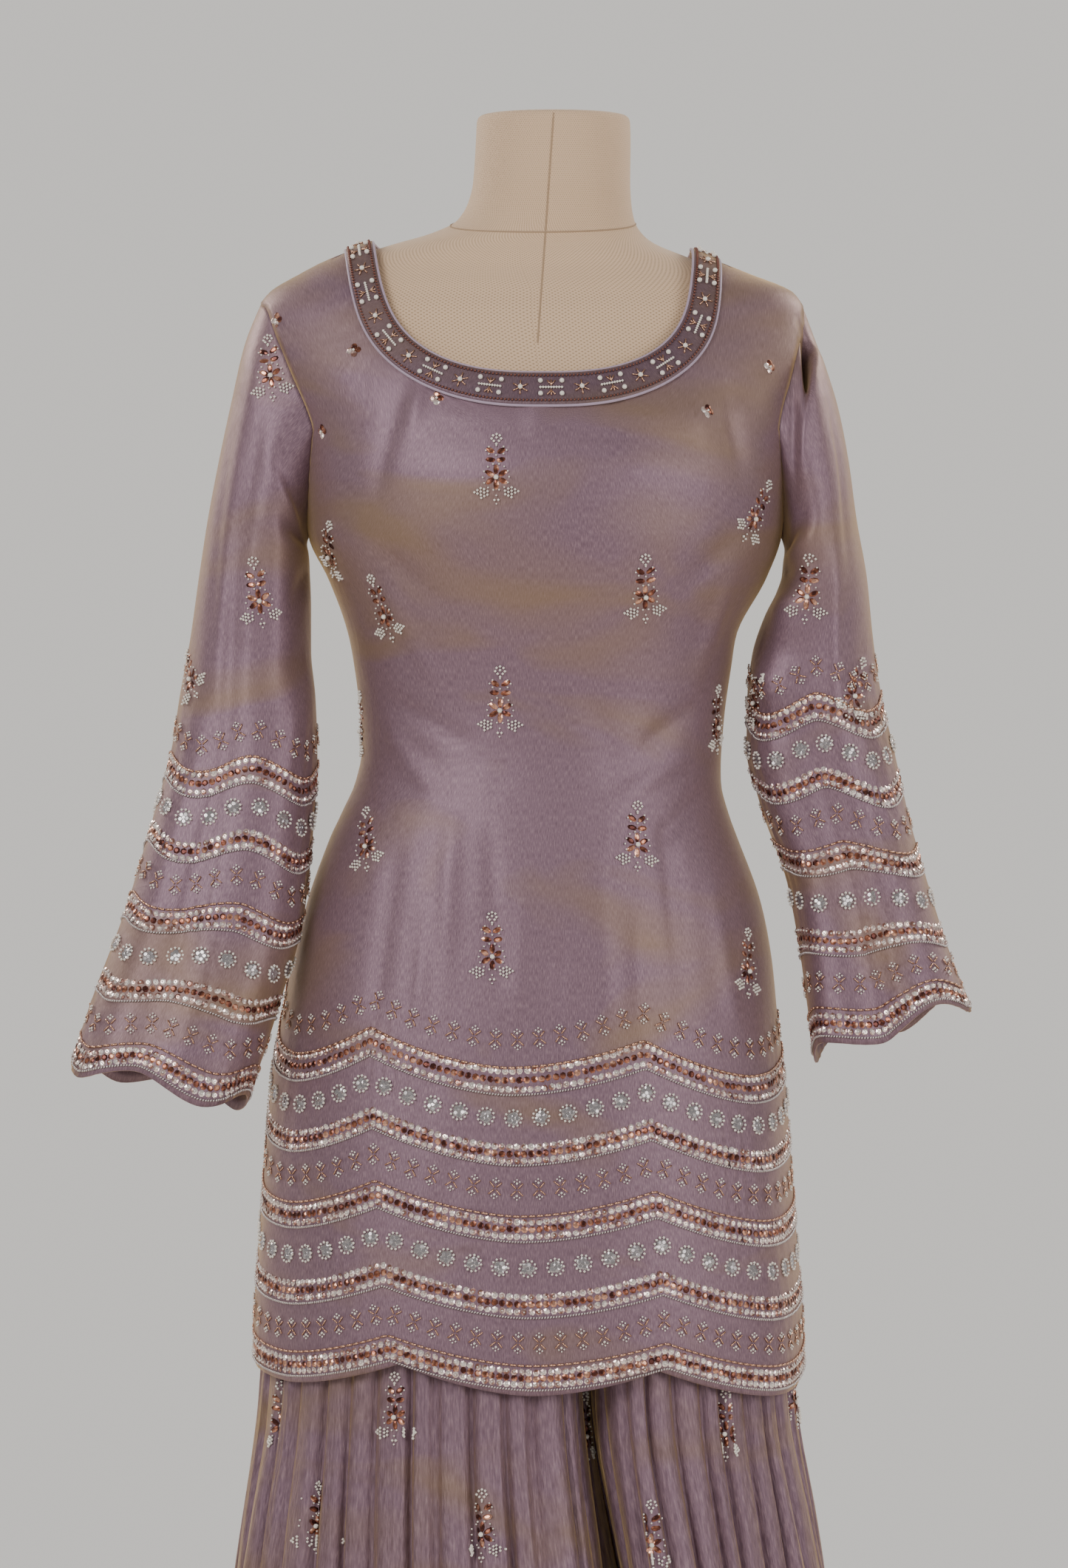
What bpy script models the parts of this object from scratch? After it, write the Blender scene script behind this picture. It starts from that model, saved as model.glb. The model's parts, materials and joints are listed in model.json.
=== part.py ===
"""Sharara suit on a limbless dress form: a scalloped kurta with long sleeves over two pleated, flared legs.

Metres, +Z up, the front of the suit looks along -Y. The origin is on the floor under the form's pole.
The wearer's right side is at -X, which is the left side of a front view.
"""
import math

import bmesh
import bpy
import numpy as np

for old in list(bpy.data.objects):
    bpy.data.objects.remove(old)

SEAM_GAP = 0.0003
CLOTH = 0.0012
QUARTER_TURN = math.pi / 2


# Tables and curves

def steady(table, at):
    """The rows of a table read at any height, with a smooth curve that never overshoots a row."""
    rows = np.array(table, float)
    knots, values = rows[:, 0], rows[:, 1:]
    at = np.clip(np.asarray(at, float), knots[0], knots[-1])
    steps = np.diff(knots)[:, None]
    slopes = np.diff(values, axis=0) / steps
    before, after = slopes[:-1], slopes[1:]
    same = before * after > 0
    inner = np.where(same, 2 * before * after / np.where(same, before + after, 1), 0)
    tangents = np.vstack([slopes[:1], inner, slopes[-1:]])
    i = np.clip(np.searchsorted(knots, at, side="right") - 1, 0, len(knots) - 2)
    h = steps[i]
    t = ((at - knots[i])[..., None]) / h
    return (
        values[i] * (1 + 2 * t) * (1 - t) ** 2
        + tangents[i] * h * t * (1 - t) ** 2
        + values[i + 1] * t * t * (3 - 2 * t)
        + tangents[i + 1] * h * t * t * (t - 1)
    )


def ease(low, high, value):
    """0 below low, 1 above high, and a smooth step between them."""
    t = np.clip((np.asarray(value, float) - low) / (high - low), 0, 1)
    return t * t * (3 - 2 * t)


def mix(a, b, share):
    return a + (b - a) * share


def along_line(points, shares):
    """The points of a line at the given shares of its length."""
    points = np.asarray(points, float)
    along = np.concatenate([[0], np.cumsum(np.linalg.norm(np.diff(points, axis=0), axis=1))])
    return np.stack([np.interp(shares * along[-1], along, column) for column in points.T], axis=1)


# Materials and mesh building

def make_material(name, colour, roughness, metallic=0.0, sheen=0.0):
    material = bpy.data.materials.new(name)
    material.use_nodes = True
    shader = material.node_tree.nodes["Principled BSDF"]
    shader.inputs["Base Color"].default_value = (*colour, 1)
    shader.inputs["Roughness"].default_value = roughness
    shader.inputs["Metallic"].default_value = metallic
    shader.inputs["Sheen Weight"].default_value = sheen
    return material


TISSUE_SILK = make_material("tissue_silk", (0.30, 0.22, 0.29), 0.42, 0.35, 0.5)
BAND_SILK = make_material("band_silk", (0.22, 0.16, 0.22), 0.55, 0.1, 0.3)
ELASTIC = make_material("waist_elastic", (0.24, 0.18, 0.24), 0.7)
CANVAS = make_material("form_canvas", (0.62, 0.47, 0.31), 0.85)
STEEL = make_material("stand_steel", (0.55, 0.55, 0.56), 0.32, 1.0)


def add_object(name, mesh, material):
    """The mesh as a named object, with its faces shaded smooth up to 40 degrees."""
    mesh.materials.append(material)
    mesh.shade_smooth()
    mesh.set_sharp_from_angle(angle=math.radians(40))
    obj = bpy.data.objects.new(name, mesh)
    bpy.context.scene.collection.objects.link(obj)
    return obj


def grid_mesh(name, rows, closed, outward):
    """One layer of cloth through rows of points; a closed row joins its last point to its first.

    Each cell is cut along its shorter diagonal here, so that both faces of the wall are cut alike.
    outward gives a point inside the garment for any point of the cloth, and the faces are turned to
    look away from it.
    """
    rows = np.asarray(rows, float)
    down, across = rows.shape[:2]
    bm = bmesh.new()
    grid = [[bm.verts.new(point) for point in row] for row in rows]
    for upper, lower in zip(grid, grid[1:]):
        for i in range(across if closed else across - 1):
            j = (i + 1) % across
            cell = [upper[i], upper[j], lower[j], lower[i]]
            if (cell[0].co - cell[2].co).length > (cell[1].co - cell[3].co).length:
                cell = cell[1:] + cell[:1]
            bm.faces.new(cell[:3])
            bm.faces.new((cell[2], cell[3], cell[0]))
    bm.normal_update()
    facing = sum((face.calc_center_median() - outward(face.calc_center_median())).dot(face.normal)
                 for face in bm.faces)
    if facing < 0:
        bmesh.ops.reverse_faces(bm, faces=bm.faces)
    mesh = bpy.data.meshes.new(name)
    bm.to_mesh(mesh)
    bm.free()
    return mesh


def add_cloth(name, rows, material, closed=False, thickness=CLOTH, outward=None):
    """A wall of cloth of the given thickness, half of it on each side of the rows of points."""
    def axis_point(point):
        inside = point.copy()
        inside.x = inside.y = 0
        return inside

    obj = add_object(name, grid_mesh(name, rows, closed, outward or axis_point), material)
    wall = obj.modifiers.new("wall", "SOLIDIFY")
    wall.thickness = thickness
    wall.offset = 0
    return obj


# Dress form: canvas-covered torso and neck

# height, half width, sideways shift, depth in front, depth behind
FORM_SECTIONS = (
    (0.800, 0.146, -0.010, 0.104, 0.120),
    (0.830, 0.151, -0.010, 0.108, 0.126),
    (0.880, 0.151, -0.010, 0.109, 0.127),
    (0.940, 0.142, -0.010, 0.105, 0.116),
    (1.000, 0.127, -0.010, 0.098, 0.100),
    (1.060, 0.1155, -0.009, 0.089, 0.083),
    (1.092, 0.1150, -0.008, 0.089, 0.082),
    (1.140, 0.121, -0.008, 0.097, 0.084),
    (1.200, 0.139, -0.006, 0.117, 0.090),
    (1.245, 0.152, -0.005, 0.128, 0.095),
    (1.300, 0.167, -0.007, 0.117, 0.099),
    (1.330, 0.178, -0.010, 0.102, 0.100),
    (1.360, 0.187, -0.014, 0.086, 0.098),
    (1.385, 0.187, -0.0165, 0.073, 0.090),
    (1.398, 0.180, -0.0165, 0.064, 0.083),
    (1.4055, 0.170, -0.0190, 0.060, 0.079),
    (1.412, 0.157, -0.0215, 0.056, 0.075),
    (1.4205, 0.1370, -0.0240, 0.0520, 0.070),
    (1.4285, 0.1180, -0.0245, 0.0505, 0.066),
    (1.4355, 0.0980, -0.0220, 0.049, 0.063),
    (1.4441, 0.0770, -0.0130, 0.049, 0.061),
    (1.4532, 0.0648, -0.0063, 0.050, 0.059),
    (1.4664, 0.0593, -0.0033, 0.052, 0.0575),
    (1.4818, 0.0570, -0.0018, 0.0545, 0.0565),
    (1.5260, 0.0556, -0.0005, 0.0555, 0.0555),
    (1.5300, 0.0535, -0.0005, 0.0535, 0.0535),
)
FORM_SQUARENESS = 2.2
FORM_CORNERS = 32
# Least clearance of the kurta's shoulders from the form
FORM_SEAT_GAP = 0.0012


def ring_point(sizes, angle):
    """A point of a body section: angle 0 at the front, a quarter turn at +X. Returns x and y."""
    half, shift, front, back = np.moveaxis(np.asarray(sizes), -1, 0)
    s, c = np.sin(angle), np.cos(angle)
    power = 2 / FORM_SQUARENESS
    x = shift + half * np.sign(s) * np.abs(s) ** power
    y = -np.where(c > 0, front, back) * np.sign(c) * np.abs(c) ** power
    return x, y


def build_form():
    bm = bmesh.new()
    angles = np.arange(FORM_CORNERS) * 2 * math.pi / FORM_CORNERS
    rings = []
    for height, *sizes in FORM_SECTIONS:
        x, y = ring_point(sizes, angles)
        rings.append([bm.verts.new((px, py, height)) for px, py in zip(x, y)])
    for lower, upper in zip(rings, rings[1:]):
        for i in range(FORM_CORNERS):
            j = (i + 1) % FORM_CORNERS
            bm.faces.new((lower[i], lower[j], upper[j], upper[i]))
    bm.faces.new(rings[0])
    bm.faces.new(rings[-1])
    bmesh.ops.recalc_face_normals(bm, faces=bm.faces)
    mesh = bpy.data.meshes.new("form_torso")
    bm.to_mesh(mesh)
    bm.free()
    add_object("form_torso", mesh, CANVAS)


# Stand: a steel pole in a round foot plate

FOOT_RADIUS = 0.19
FOOT_HEIGHT = 0.010
POLE_RADIUS = 0.0125
FOOT_SIDES, POLE_SIDES = 32, 16
FOOT_BEVEL = 0.002


def add_disc(name, radius, bottom, top, sides, bevel, material):
    bpy.ops.mesh.primitive_cylinder_add(
        vertices=sides, radius=radius, depth=top - bottom, location=(0, 0, (top + bottom) / 2)
    )
    obj = bpy.context.object
    obj.name = name
    obj.data.name = name
    obj.data.materials.append(material)
    if bevel:
        edge = obj.modifiers.new("edge", "BEVEL")
        edge.width = bevel
        edge.segments = 1
        edge.limit_method = "ANGLE"
    return obj


def build_stand():
    form_bottom = FORM_SECTIONS[0][0]
    add_disc("stand_foot", FOOT_RADIUS, 0, FOOT_HEIGHT, FOOT_SIDES, FOOT_BEVEL, STEEL)
    pole_bottom = FOOT_HEIGHT + SEAM_GAP
    add_disc("stand_pole", POLE_RADIUS, pole_bottom, form_bottom - SEAM_GAP, POLE_SIDES, 0, STEEL)


# Kurta: a front and a back, each cut from shoulder to scalloped hem

# height, half width, sideways shift, depth in front, depth behind, all to the middle of the cloth
KURTA_SECTIONS = (
    (0.600, 0.1990, -0.0180, 0.150, 0.160),
    (0.665, 0.1975, -0.0180, 0.147, 0.158),
    (0.707, 0.1945, -0.0184, 0.144, 0.156),
    (0.771, 0.1900, -0.0186, 0.139, 0.153),
    (0.835, 0.1850, -0.0188, 0.133, 0.150),
    (0.877, 0.1790, -0.0176, 0.129, 0.147),
    (0.919, 0.1730, -0.0158, 0.124, 0.141),
    (0.962, 0.1632, -0.0146, 0.119, 0.131),
    (1.004, 0.1480, -0.0148, 0.112, 0.118),
    (1.025, 0.1395, -0.0138, 0.108, 0.110),
    (1.047, 0.1320, -0.0115, 0.104, 0.103),
    (1.068, 0.1298, -0.0092, 0.102, 0.099),
    (1.090, 0.1310, -0.0086, 0.102, 0.096),
    (1.131, 0.1362, -0.0082, 0.108, 0.095),
    (1.153, 0.1400, -0.0085, 0.114, 0.096),
    (1.195, 0.1585, -0.0050, 0.126, 0.100),
    (1.225, 0.1710, -0.0066, 0.133, 0.103),
    (1.260, 0.1750, -0.0060, 0.135, 0.106),
    (1.300, 0.1800, -0.0060, 0.125, 0.107),
    (1.330, 0.1890, -0.0110, 0.110, 0.106),
    (1.360, 0.1975, -0.0150, 0.0925, 0.103),
    (1.385, 0.1990, -0.0170, 0.078, 0.095),
    (1.400, 0.1910, -0.0165, 0.070, 0.088),
    (1.415, 0.1620, -0.0215, 0.062, 0.080),
    (1.424, 0.1420, -0.0240, 0.057, 0.074),
    (1.432, 0.1210, -0.0245, 0.054, 0.070),
    (1.4385, 0.1010, -0.0220, 0.052, 0.067),
    (1.4460, 0.0790, -0.0130, 0.051, 0.064),
    (1.4600, 0.0500, -0.0050, 0.040, 0.050),
)
UNDERARM = 1.225
CHEST = 1.300
ARMHOLE_Y = 0.052
ARMHOLE_ROUND = 0.6
# How much of a panel's half width the side seam takes
SIDE_SEAM_SHARE = 0.0012
SHOULDER_TIP = 0.196

# One half of a panel from its middle to its side: cells of the centre scallop, the rest below the
# neckline, and the shoulder, with the share of the half width that each group ends at
SCALLOP_CELLS, NECK_CELLS, SHOULDER_CELLS = 4, 9, 4
SCALLOP_SHARE, NECK_SHARE = 1 / 3, 0.64

# Hem: three scallops on each panel, and how much the hem hangs down towards the left side
HEM_LOW = 0.6145
CENTRE_RISE = 0.019
SIDE_RISE = 0.021
HEM_TILT = 0.0075
SCALLOP_POWER = 1.7
PANEL_HEIGHTS = (HEM_LOW, 0.67, 0.77, 0.87, 0.945, 1.005, 1.045, 1.09, 1.14, 1.185, UNDERARM, 1.262, CHEST)
SCALLOP_FADES_AT = 0.79
# Steps from the chest to the last row before the neckline, which is the neck band's lower edge
ARCH_STEPS = (0.24, 0.47, 0.68, 0.86)

# Neckline: half width at the shoulder, how far its middle is from the pole there and how much it
# leans back to the left on its way down, and its drop from the shoulder ridge, as a share of the
# quarter turn from the ridge to the chest
NECK_HALF_WIDTH = 0.1150
NECK_SHIFT = -0.0165
NECK_LEAN = 0.010
NECK_POWER = 2.7
NECK_DROP = {"front": 0.790, "back": 0.44}
NECK_RADIUS = 0.135

# Neck band: a stitched strip round the neckline, in two halves that meet at the shoulders
BAND_WIDTH = 0.0195
BAND_THICKNESS = 0.0010
BAND_GAP = 0.0011
BAND_END_TURN = 0.012
SHOULDER_ROW_TURN = 0.16
# The shoulder seam's place on the ridge, and how the rows above the chest draw in to the neckline
RIDGE_TURN = QUARTER_TURN - 0.003
ARCH_DRAW_IN = 1.3
# The search for a ray's end: longest ray, and halvings
REACH_LIMIT, REACH_STEPS = 0.3, 40

# Soft flutes of the skirt of the kurta: share of the half width, depth, width as a share
FLUTES = ((-0.84, 0.0045, 0.13), (-0.42, 0.0020, 0.20), (0.36, 0.0020, 0.20), (0.70, 0.0045, 0.11))
FLUTES_FROM, FLUTES_FULL = 1.00, 0.70
FLUTE_EDGE_POWER = 8


def column_shares():
    """The columns of a panel, as shares of its half width from -1 to 1."""
    scallop = np.linspace(0, SCALLOP_SHARE, SCALLOP_CELLS + 1)
    neck = np.linspace(SCALLOP_SHARE, NECK_SHARE, NECK_CELLS - SCALLOP_CELLS + 1)[1:]
    shoulder = np.linspace(NECK_SHARE, 1, SHOULDER_CELLS + 1)[1:]
    half = np.concatenate([scallop, neck, shoulder])
    return np.concatenate([-half[:0:-1], half])


def hem_rise(share):
    """How far the hem is above its lowest line, at a share of the half width."""
    tilt = HEM_TILT * share
    share = np.abs(share)
    centre = CENTRE_RISE * np.minimum(share / SCALLOP_SHARE, 1) ** SCALLOP_POWER
    middle = (1 + SCALLOP_SHARE) / 2
    off_middle = (share - middle) / (1 - middle)
    top = np.where(off_middle < 0, CENTRE_RISE, SIDE_RISE)
    side = top * np.minimum(np.abs(off_middle), 1) ** SCALLOP_POWER
    return np.where(share < SCALLOP_SHARE, centre, side) - tilt


def side_line(height, facing, edge_y):
    """The dense half section of a panel at one height, from the -X edge to the +X edge.

    facing is 1 for the front and -1 for the back; edge_y is how far the edges lie from the
    section's widest line.
    """
    angles = np.linspace(-QUARTER_TURN, QUARTER_TURN, 181)
    x, y = ring_point(steady(KURTA_SECTIONS, height), angles)
    if facing < 0:
        x, y = ring_point(steady(KURTA_SECTIONS, height), math.pi - angles)
    keep = np.abs(y) >= edge_y - 1e-9
    return np.stack([x[keep], y[keep]], axis=1)


def armhole_depth(height):
    """How far the armhole's edge lies from the side line, from the underarm to the chest."""
    share = np.clip((height - UNDERARM) / (CHEST - UNDERARM), 0, 1)
    return ARMHOLE_Y * share**ARMHOLE_ROUND


def flute_depth(share, height):
    """How far the skirt of the kurta stands in or out at a share of the half width."""
    amount = 1 - ease(FLUTES_FULL, FLUTES_FROM, height)
    waves = sum(d * np.exp(-(((share - at) / width) ** 2)) for at, d, width in FLUTES)
    return waves * amount * (1 - np.abs(share) ** FLUTE_EDGE_POWER)


def section_row(height, facing, shares):
    """Points of a panel at one height, at the given shares of its half width."""
    line = side_line(height, facing, armhole_depth(height))
    points = along_line(line, (shares + 1) / 2)
    tangent = np.gradient(points, axis=0)
    normal = np.stack([tangent[:, 1], -tangent[:, 0]], axis=1) * facing
    normal /= np.linalg.norm(normal, axis=1)[:, None]
    return points + normal * flute_depth(shares, height)[:, None]


def lower_row(height, facing, shares):
    fade = 1 - ease(HEM_LOW, SCALLOP_FADES_AT, height)
    heights = height + hem_rise(shares) * fade
    rows = [section_row(h, facing, shares) for h in heights]
    xy = np.array([row[i] for i, row in enumerate(rows)])
    return np.column_stack([xy, heights])


def reach(sections, x, turn, facing, extra=0.0):
    """How far a ray from the chest line at x goes before it leaves the body, at a turn up from
    level: 0 points forwards (or back) and a quarter turn points up."""
    low, high = np.zeros_like(x), np.full_like(x, REACH_LIMIT)
    for _ in range(REACH_STEPS):
        mid = (low + high) / 2
        sizes = steady(sections, CHEST + mid * np.sin(turn))
        half, shift, front, back = np.moveaxis(sizes, -1, 0)
        depth = front if facing > 0 else back
        over_top = CHEST + mid * np.sin(turn) > sections[-1][0]
        inside = (np.abs(x - shift) / half) ** FORM_SQUARENESS + (
            mid * np.cos(turn) / depth
        ) ** FORM_SQUARENESS < 1
        inside &= ~over_top
        low, high = np.where(inside, mid, low), np.where(inside, high, mid)
    return low + extra


def arch_point(x, turn, facing):
    """A point of the kurta above the chest line, at x and a turn up towards the shoulder."""
    x, turn = np.broadcast_arrays(np.asarray(x, float), np.asarray(turn, float))
    cloth = reach(KURTA_SECTIONS, x, turn, facing)
    form = reach(FORM_SECTIONS, x, turn, facing, FORM_SEAT_GAP + CLOTH)
    r = np.maximum(cloth, form)
    return np.stack([x, -facing * r * np.cos(turn), CHEST + r * np.sin(turn)], axis=-1)


def neckline(facing_name, shares, outwards=0.0):
    """x and turn along half of a neckline, from its middle (0) to the shoulder ridge (1)."""
    steep = np.linspace(0, QUARTER_TURN, 121)
    width = NECK_HALF_WIDTH + outwards
    drop = NECK_DROP[facing_name] + outwards / NECK_RADIUS
    power = 2 / NECK_POWER
    x = width * np.sin(steep) ** power
    turn = QUARTER_TURN * (1 - drop * np.cos(steep) ** power)
    even = np.linspace(0, 1, 121)
    line = along_line(np.column_stack([x, turn * NECK_RADIUS]), even)
    return np.interp(shares, even, line[:, 0]), np.interp(shares, even, line[:, 1]) / NECK_RADIUS


def mirrored(half_x, half_turn):
    """Both halves of a line that runs from the middle of a panel to a shoulder."""
    turn = np.concatenate([half_turn[:0:-1], half_turn])
    x = np.concatenate([-half_x[:0:-1], half_x])
    return x + NECK_SHIFT + NECK_LEAN * (1 - turn / QUARTER_TURN), turn


def panel_rows(facing_name):
    """All rows of the front or the back, from the hem to the neckline and shoulders."""
    facing = 1 if facing_name == "front" else -1
    shares = column_shares() * (1 - SIDE_SEAM_SHARE)
    rows = [lower_row(height, facing, shares) for height in PANEL_HEIGHTS]
    chest = rows[-1]

    neck_shares = np.linspace(0, 1, NECK_CELLS + 1)
    neck_x, neck_turn = neckline(facing_name, neck_shares)
    shoulder_x = np.linspace(NECK_HALF_WIDTH, SHOULDER_TIP, SHOULDER_CELLS + 1)[1:]
    shoulder_turn = np.full(SHOULDER_CELLS, RIDGE_TURN)
    top_x, top_turn = mirrored(
        np.concatenate([neck_x, shoulder_x]),
        np.minimum(np.concatenate([neck_turn, shoulder_turn]), RIDGE_TURN),
    )

    band_x, band_turn = neckline(facing_name, neck_shares, BAND_WIDTH)
    band_turn = np.minimum(band_turn, RIDGE_TURN - BAND_END_TURN)
    shoulder_x = np.linspace(NECK_HALF_WIDTH + BAND_WIDTH, SHOULDER_TIP, SHOULDER_CELLS + 1)[1:]
    band_x, band_turn = mirrored(
        np.concatenate([band_x, shoulder_x]),
        np.concatenate([band_turn, shoulder_turn - SHOULDER_ROW_TURN]),
    )

    for step in ARCH_STEPS:
        x = mix(chest[:, 0], band_x, step**ARCH_DRAW_IN)
        rows.append(arch_point(x, band_turn * step, facing))
    rows.append(arch_point(band_x, band_turn, facing))
    rows.append(arch_point(top_x, top_turn, facing))
    return np.array(rows)


def build_kurta():
    panels = {}
    for name in ("front", "back"):
        panels[name] = panel_rows(name)
        add_cloth(f"kurta_{name}", panels[name], TISSUE_SILK)
    return panels


def lifted_normals(rows):
    """The direction away from the body at each point of rows that lie on the chest."""
    along = np.gradient(rows, axis=1)
    across = np.gradient(rows, axis=0)
    normal = np.cross(along, across)
    normal /= np.linalg.norm(normal, axis=-1)[..., None]
    away = rows - np.array([0, 0, CHEST])
    return normal * np.sign((normal * away).sum(axis=-1))[..., None]


def build_neck_band(panels):
    """The band lies on the last two rows of each panel, moved out."""
    middle = panels["front"].shape[1] // 2
    neck = slice(middle - NECK_CELLS, middle + NECK_CELLS + 1)
    lift = CLOTH / 2 + BAND_GAP + BAND_THICKNESS / 2
    for name, panel in panels.items():
        rows = (panel + lifted_normals(panel) * lift)[-2:, neck]
        add_cloth(f"neck_band_{name}", rows, BAND_SILK, thickness=BAND_THICKNESS)


# Sleeves: long and flared, with a scalloped cuff

# Each row runs across the sleeve in the front view: outer x, outer height, inner x, inner height,
# half depth, and how far the row hangs behind the body's middle
RIGHT_SLEEVE = (
    (-0.2237, 1.3646, -0.1800, 1.2195, 0.0600, 0.004),
    (-0.2337, 1.3222, -0.1790, 1.2130, 0.0620, 0.004),
    (-0.2427, 1.2798, -0.1783, 1.2060, 0.0620, 0.003),
    (-0.2507, 1.2374, -0.1778, 1.1950, 0.0600, 0.002),
    (-0.2571, 1.1950, -0.1770, 1.1738, 0.0580, 0.000),
    (-0.2629, 1.1526, -0.1768, 1.1420, 0.0550, -0.003),
    (-0.2703, 1.1102, -0.1733, 1.1060, 0.0520, -0.009),
    (-0.2765, 1.0678, -0.1718, 1.0620, 0.0500, -0.016),
    (-0.2878, 1.0254, -0.1745, 1.0160, 0.0470, -0.026),
    (-0.3058, 0.9618, -0.1815, 0.9480, 0.0440, -0.045),
    (-0.3240, 0.9050, -0.1975, 0.8850, 0.0430, -0.063),
    (-0.3434, 0.8442, -0.2184, 0.8156, 0.0420, -0.078),
)
LEFT_SLEEVE = (
    (0.1900, 1.3640, 0.1680, 1.2150, 0.0600, 0.004),
    (0.2045, 1.3222, 0.1670, 1.2060, 0.0620, 0.004),
    (0.2131, 1.2798, 0.1660, 1.1960, 0.0620, 0.003),
    (0.2189, 1.2374, 0.1620, 1.1840, 0.0600, 0.002),
    (0.2263, 1.1950, 0.1530, 1.1660, 0.0580, 0.001),
    (0.2305, 1.1526, 0.1440, 1.1380, 0.0550, 0.000),
    (0.2364, 1.1102, 0.1405, 1.1060, 0.0520, -0.003),
    (0.2450, 1.0720, 0.1400, 1.0700, 0.0490, -0.006),
    (0.2545, 1.0300, 0.1490, 1.0340, 0.0470, -0.010),
    (0.2700, 0.9760, 0.1700, 0.9760, 0.0440, -0.020),
    (0.2840, 0.9260, 0.1790, 0.9130, 0.0420, -0.030),
    (0.2955, 0.8870, 0.1840, 0.8495, 0.0410, -0.040),
)
SLEEVE_CORNERS = 24
SLEEVE_SEAM = 0.0018
CUFF_SCALLOPS = 4
CUFF_RISE = 0.014
CUFF_RISE_ROWS = 3
# Turn of a cusp of the right cuff and of the left cuff, from the outer edge
CUFF_CUSPS = {-1: 2.06, 1: 1.75}

# Folds down a sleeve: turn from the outer edge, depth at the top and at the cuff, width, in
# radians; a negative depth is a groove
RIGHT_FOLDS = ((1.25, -0.004, -0.007, 0.30), (2.15, 0.003, 0.004, 0.35), (4.30, -0.003, -0.006, 0.4))
LEFT_FOLDS = ((2.35, 0.003, 0.004, 0.30), (1.65, -0.005, -0.010, 0.26), (4.70, -0.003, -0.006, 0.4))


def split_longest(points, count):
    """The points with the longest stretches between them halved until there are count points."""
    points = list(points)
    while len(points) < count:
        longest = int(np.argmax(np.linalg.norm(np.diff(points, axis=0), axis=1)))
        points.insert(longest + 1, (points[longest] + points[longest + 1]) / 2)
    return np.array(points)


def armhole_loop(panels, side, gap):
    """The armhole's edge as a closed line of points, from the shoulder tip down the front to the
    underarm and up the back. side is -1 at -X and 1 at +X."""
    column = 0 if side < 0 else -1
    from_row = PANEL_HEIGHTS.index(UNDERARM)
    half = SLEEVE_CORNERS // 2
    front = split_longest(panels["front"][from_row:, column][::-1], half + 1)
    back = split_longest(panels["back"][from_row:, column], half + 1)
    loop = np.concatenate([front[:-1], back[:-1]])
    loop[0] = (front[0] + back[-1]) / 2
    loop[half] = (front[-1] + back[0]) / 2
    loop[:, 0] += side * gap
    return loop


def fold_depth(folds, turns, down):
    waves = np.zeros_like(turns)
    for at, top, cuff, width in folds:
        away = (turns - at + math.pi) % (2 * math.pi) - math.pi
        waves += mix(top, cuff, down) * np.exp(-((away / width) ** 2))
    return waves


def sleeve_rows(panels, side, table, folds):
    rows = [armhole_loop(panels, side, SLEEVE_SEAM)]
    turns = np.arange(SLEEVE_CORNERS) * 2 * math.pi / SLEEVE_CORNERS
    for i, (outer_x, outer_z, inner_x, inner_z, depth, behind) in enumerate(table):
        down = i / (len(table) - 1)
        outer, inner = np.array([outer_x, outer_z]), np.array([inner_x, inner_z])
        middle, half = (outer + inner) / 2, (outer - inner) / 2
        wave = 1 + fold_depth(folds, turns, down) / depth
        xz = middle + np.outer(np.cos(turns) * wave, half)
        y = behind - depth * np.sin(turns) * wave
        along = np.array([half[1], -half[0]]) * -side / np.linalg.norm(half)
        left = len(table) - 1 - i
        scallop = np.abs(np.sin((turns - CUFF_CUSPS[side]) * CUFF_SCALLOPS / 2)) ** SCALLOP_POWER
        rise = CUFF_RISE * (1 - scallop) * max(0.0, 1 - left / CUFF_RISE_ROWS)
        xz -= np.outer(rise, along)
        rows.append(np.column_stack([xz[:, 0], y, xz[:, 1]]))
    return np.array(rows)


def build_sleeves(panels):
    for name, side, table, folds in (
        ("sleeve_right", -1, RIGHT_SLEEVE, RIGHT_FOLDS),
        ("sleeve_left", 1, LEFT_SLEEVE, LEFT_FOLDS),
    ):
        rows = sleeve_rows(panels, side, table, folds)
        middles = rows.mean(axis=1)

        def axis_point(point, middles=middles):
            nearest = np.argmin(np.linalg.norm(middles - np.array(point), axis=1))
            inside = point.copy()
            inside[:] = middles[nearest]
            return inside

        add_cloth(name, rows, TISSUE_SILK, closed=True, outward=axis_point)


# Sharara: a waistband, and two legs each cut as a pleated front and back

WAISTBAND_LOW, WAISTBAND_HIGH = 1.060, 1.092
WAISTBAND_THICKNESS = 0.0025

# Both legs together: height, half width, sideways shift, depth in front, depth behind, all to the
# middle of the pleats
SHARARA_SECTIONS = (
    (0.024, 0.2830, -0.0100, 0.228, 0.242),
    (0.120, 0.2660, -0.0120, 0.211, 0.225),
    (0.260, 0.2430, -0.0150, 0.188, 0.202),
    (0.400, 0.2200, -0.0175, 0.167, 0.180),
    (0.520, 0.2030, -0.0190, 0.151, 0.162),
    (0.590, 0.1930, -0.0195, 0.1425, 0.1525),
    (0.655, 0.1890, -0.0190, 0.1385, 0.1495),
    (0.720, 0.1840, -0.0190, 0.1340, 0.1460),
    (0.800, 0.1740, -0.0170, 0.1260, 0.1400),
    (0.880, 0.1640, -0.0140, 0.1190, 0.1370),
    (0.950, 0.1480, -0.0120, 0.1105, 0.1230),
    (1.000, 0.1330, -0.0115, 0.1035, 0.1070),
    (1.0597, 0.1187, -0.0090, 0.0922, 0.0862),
)
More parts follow.
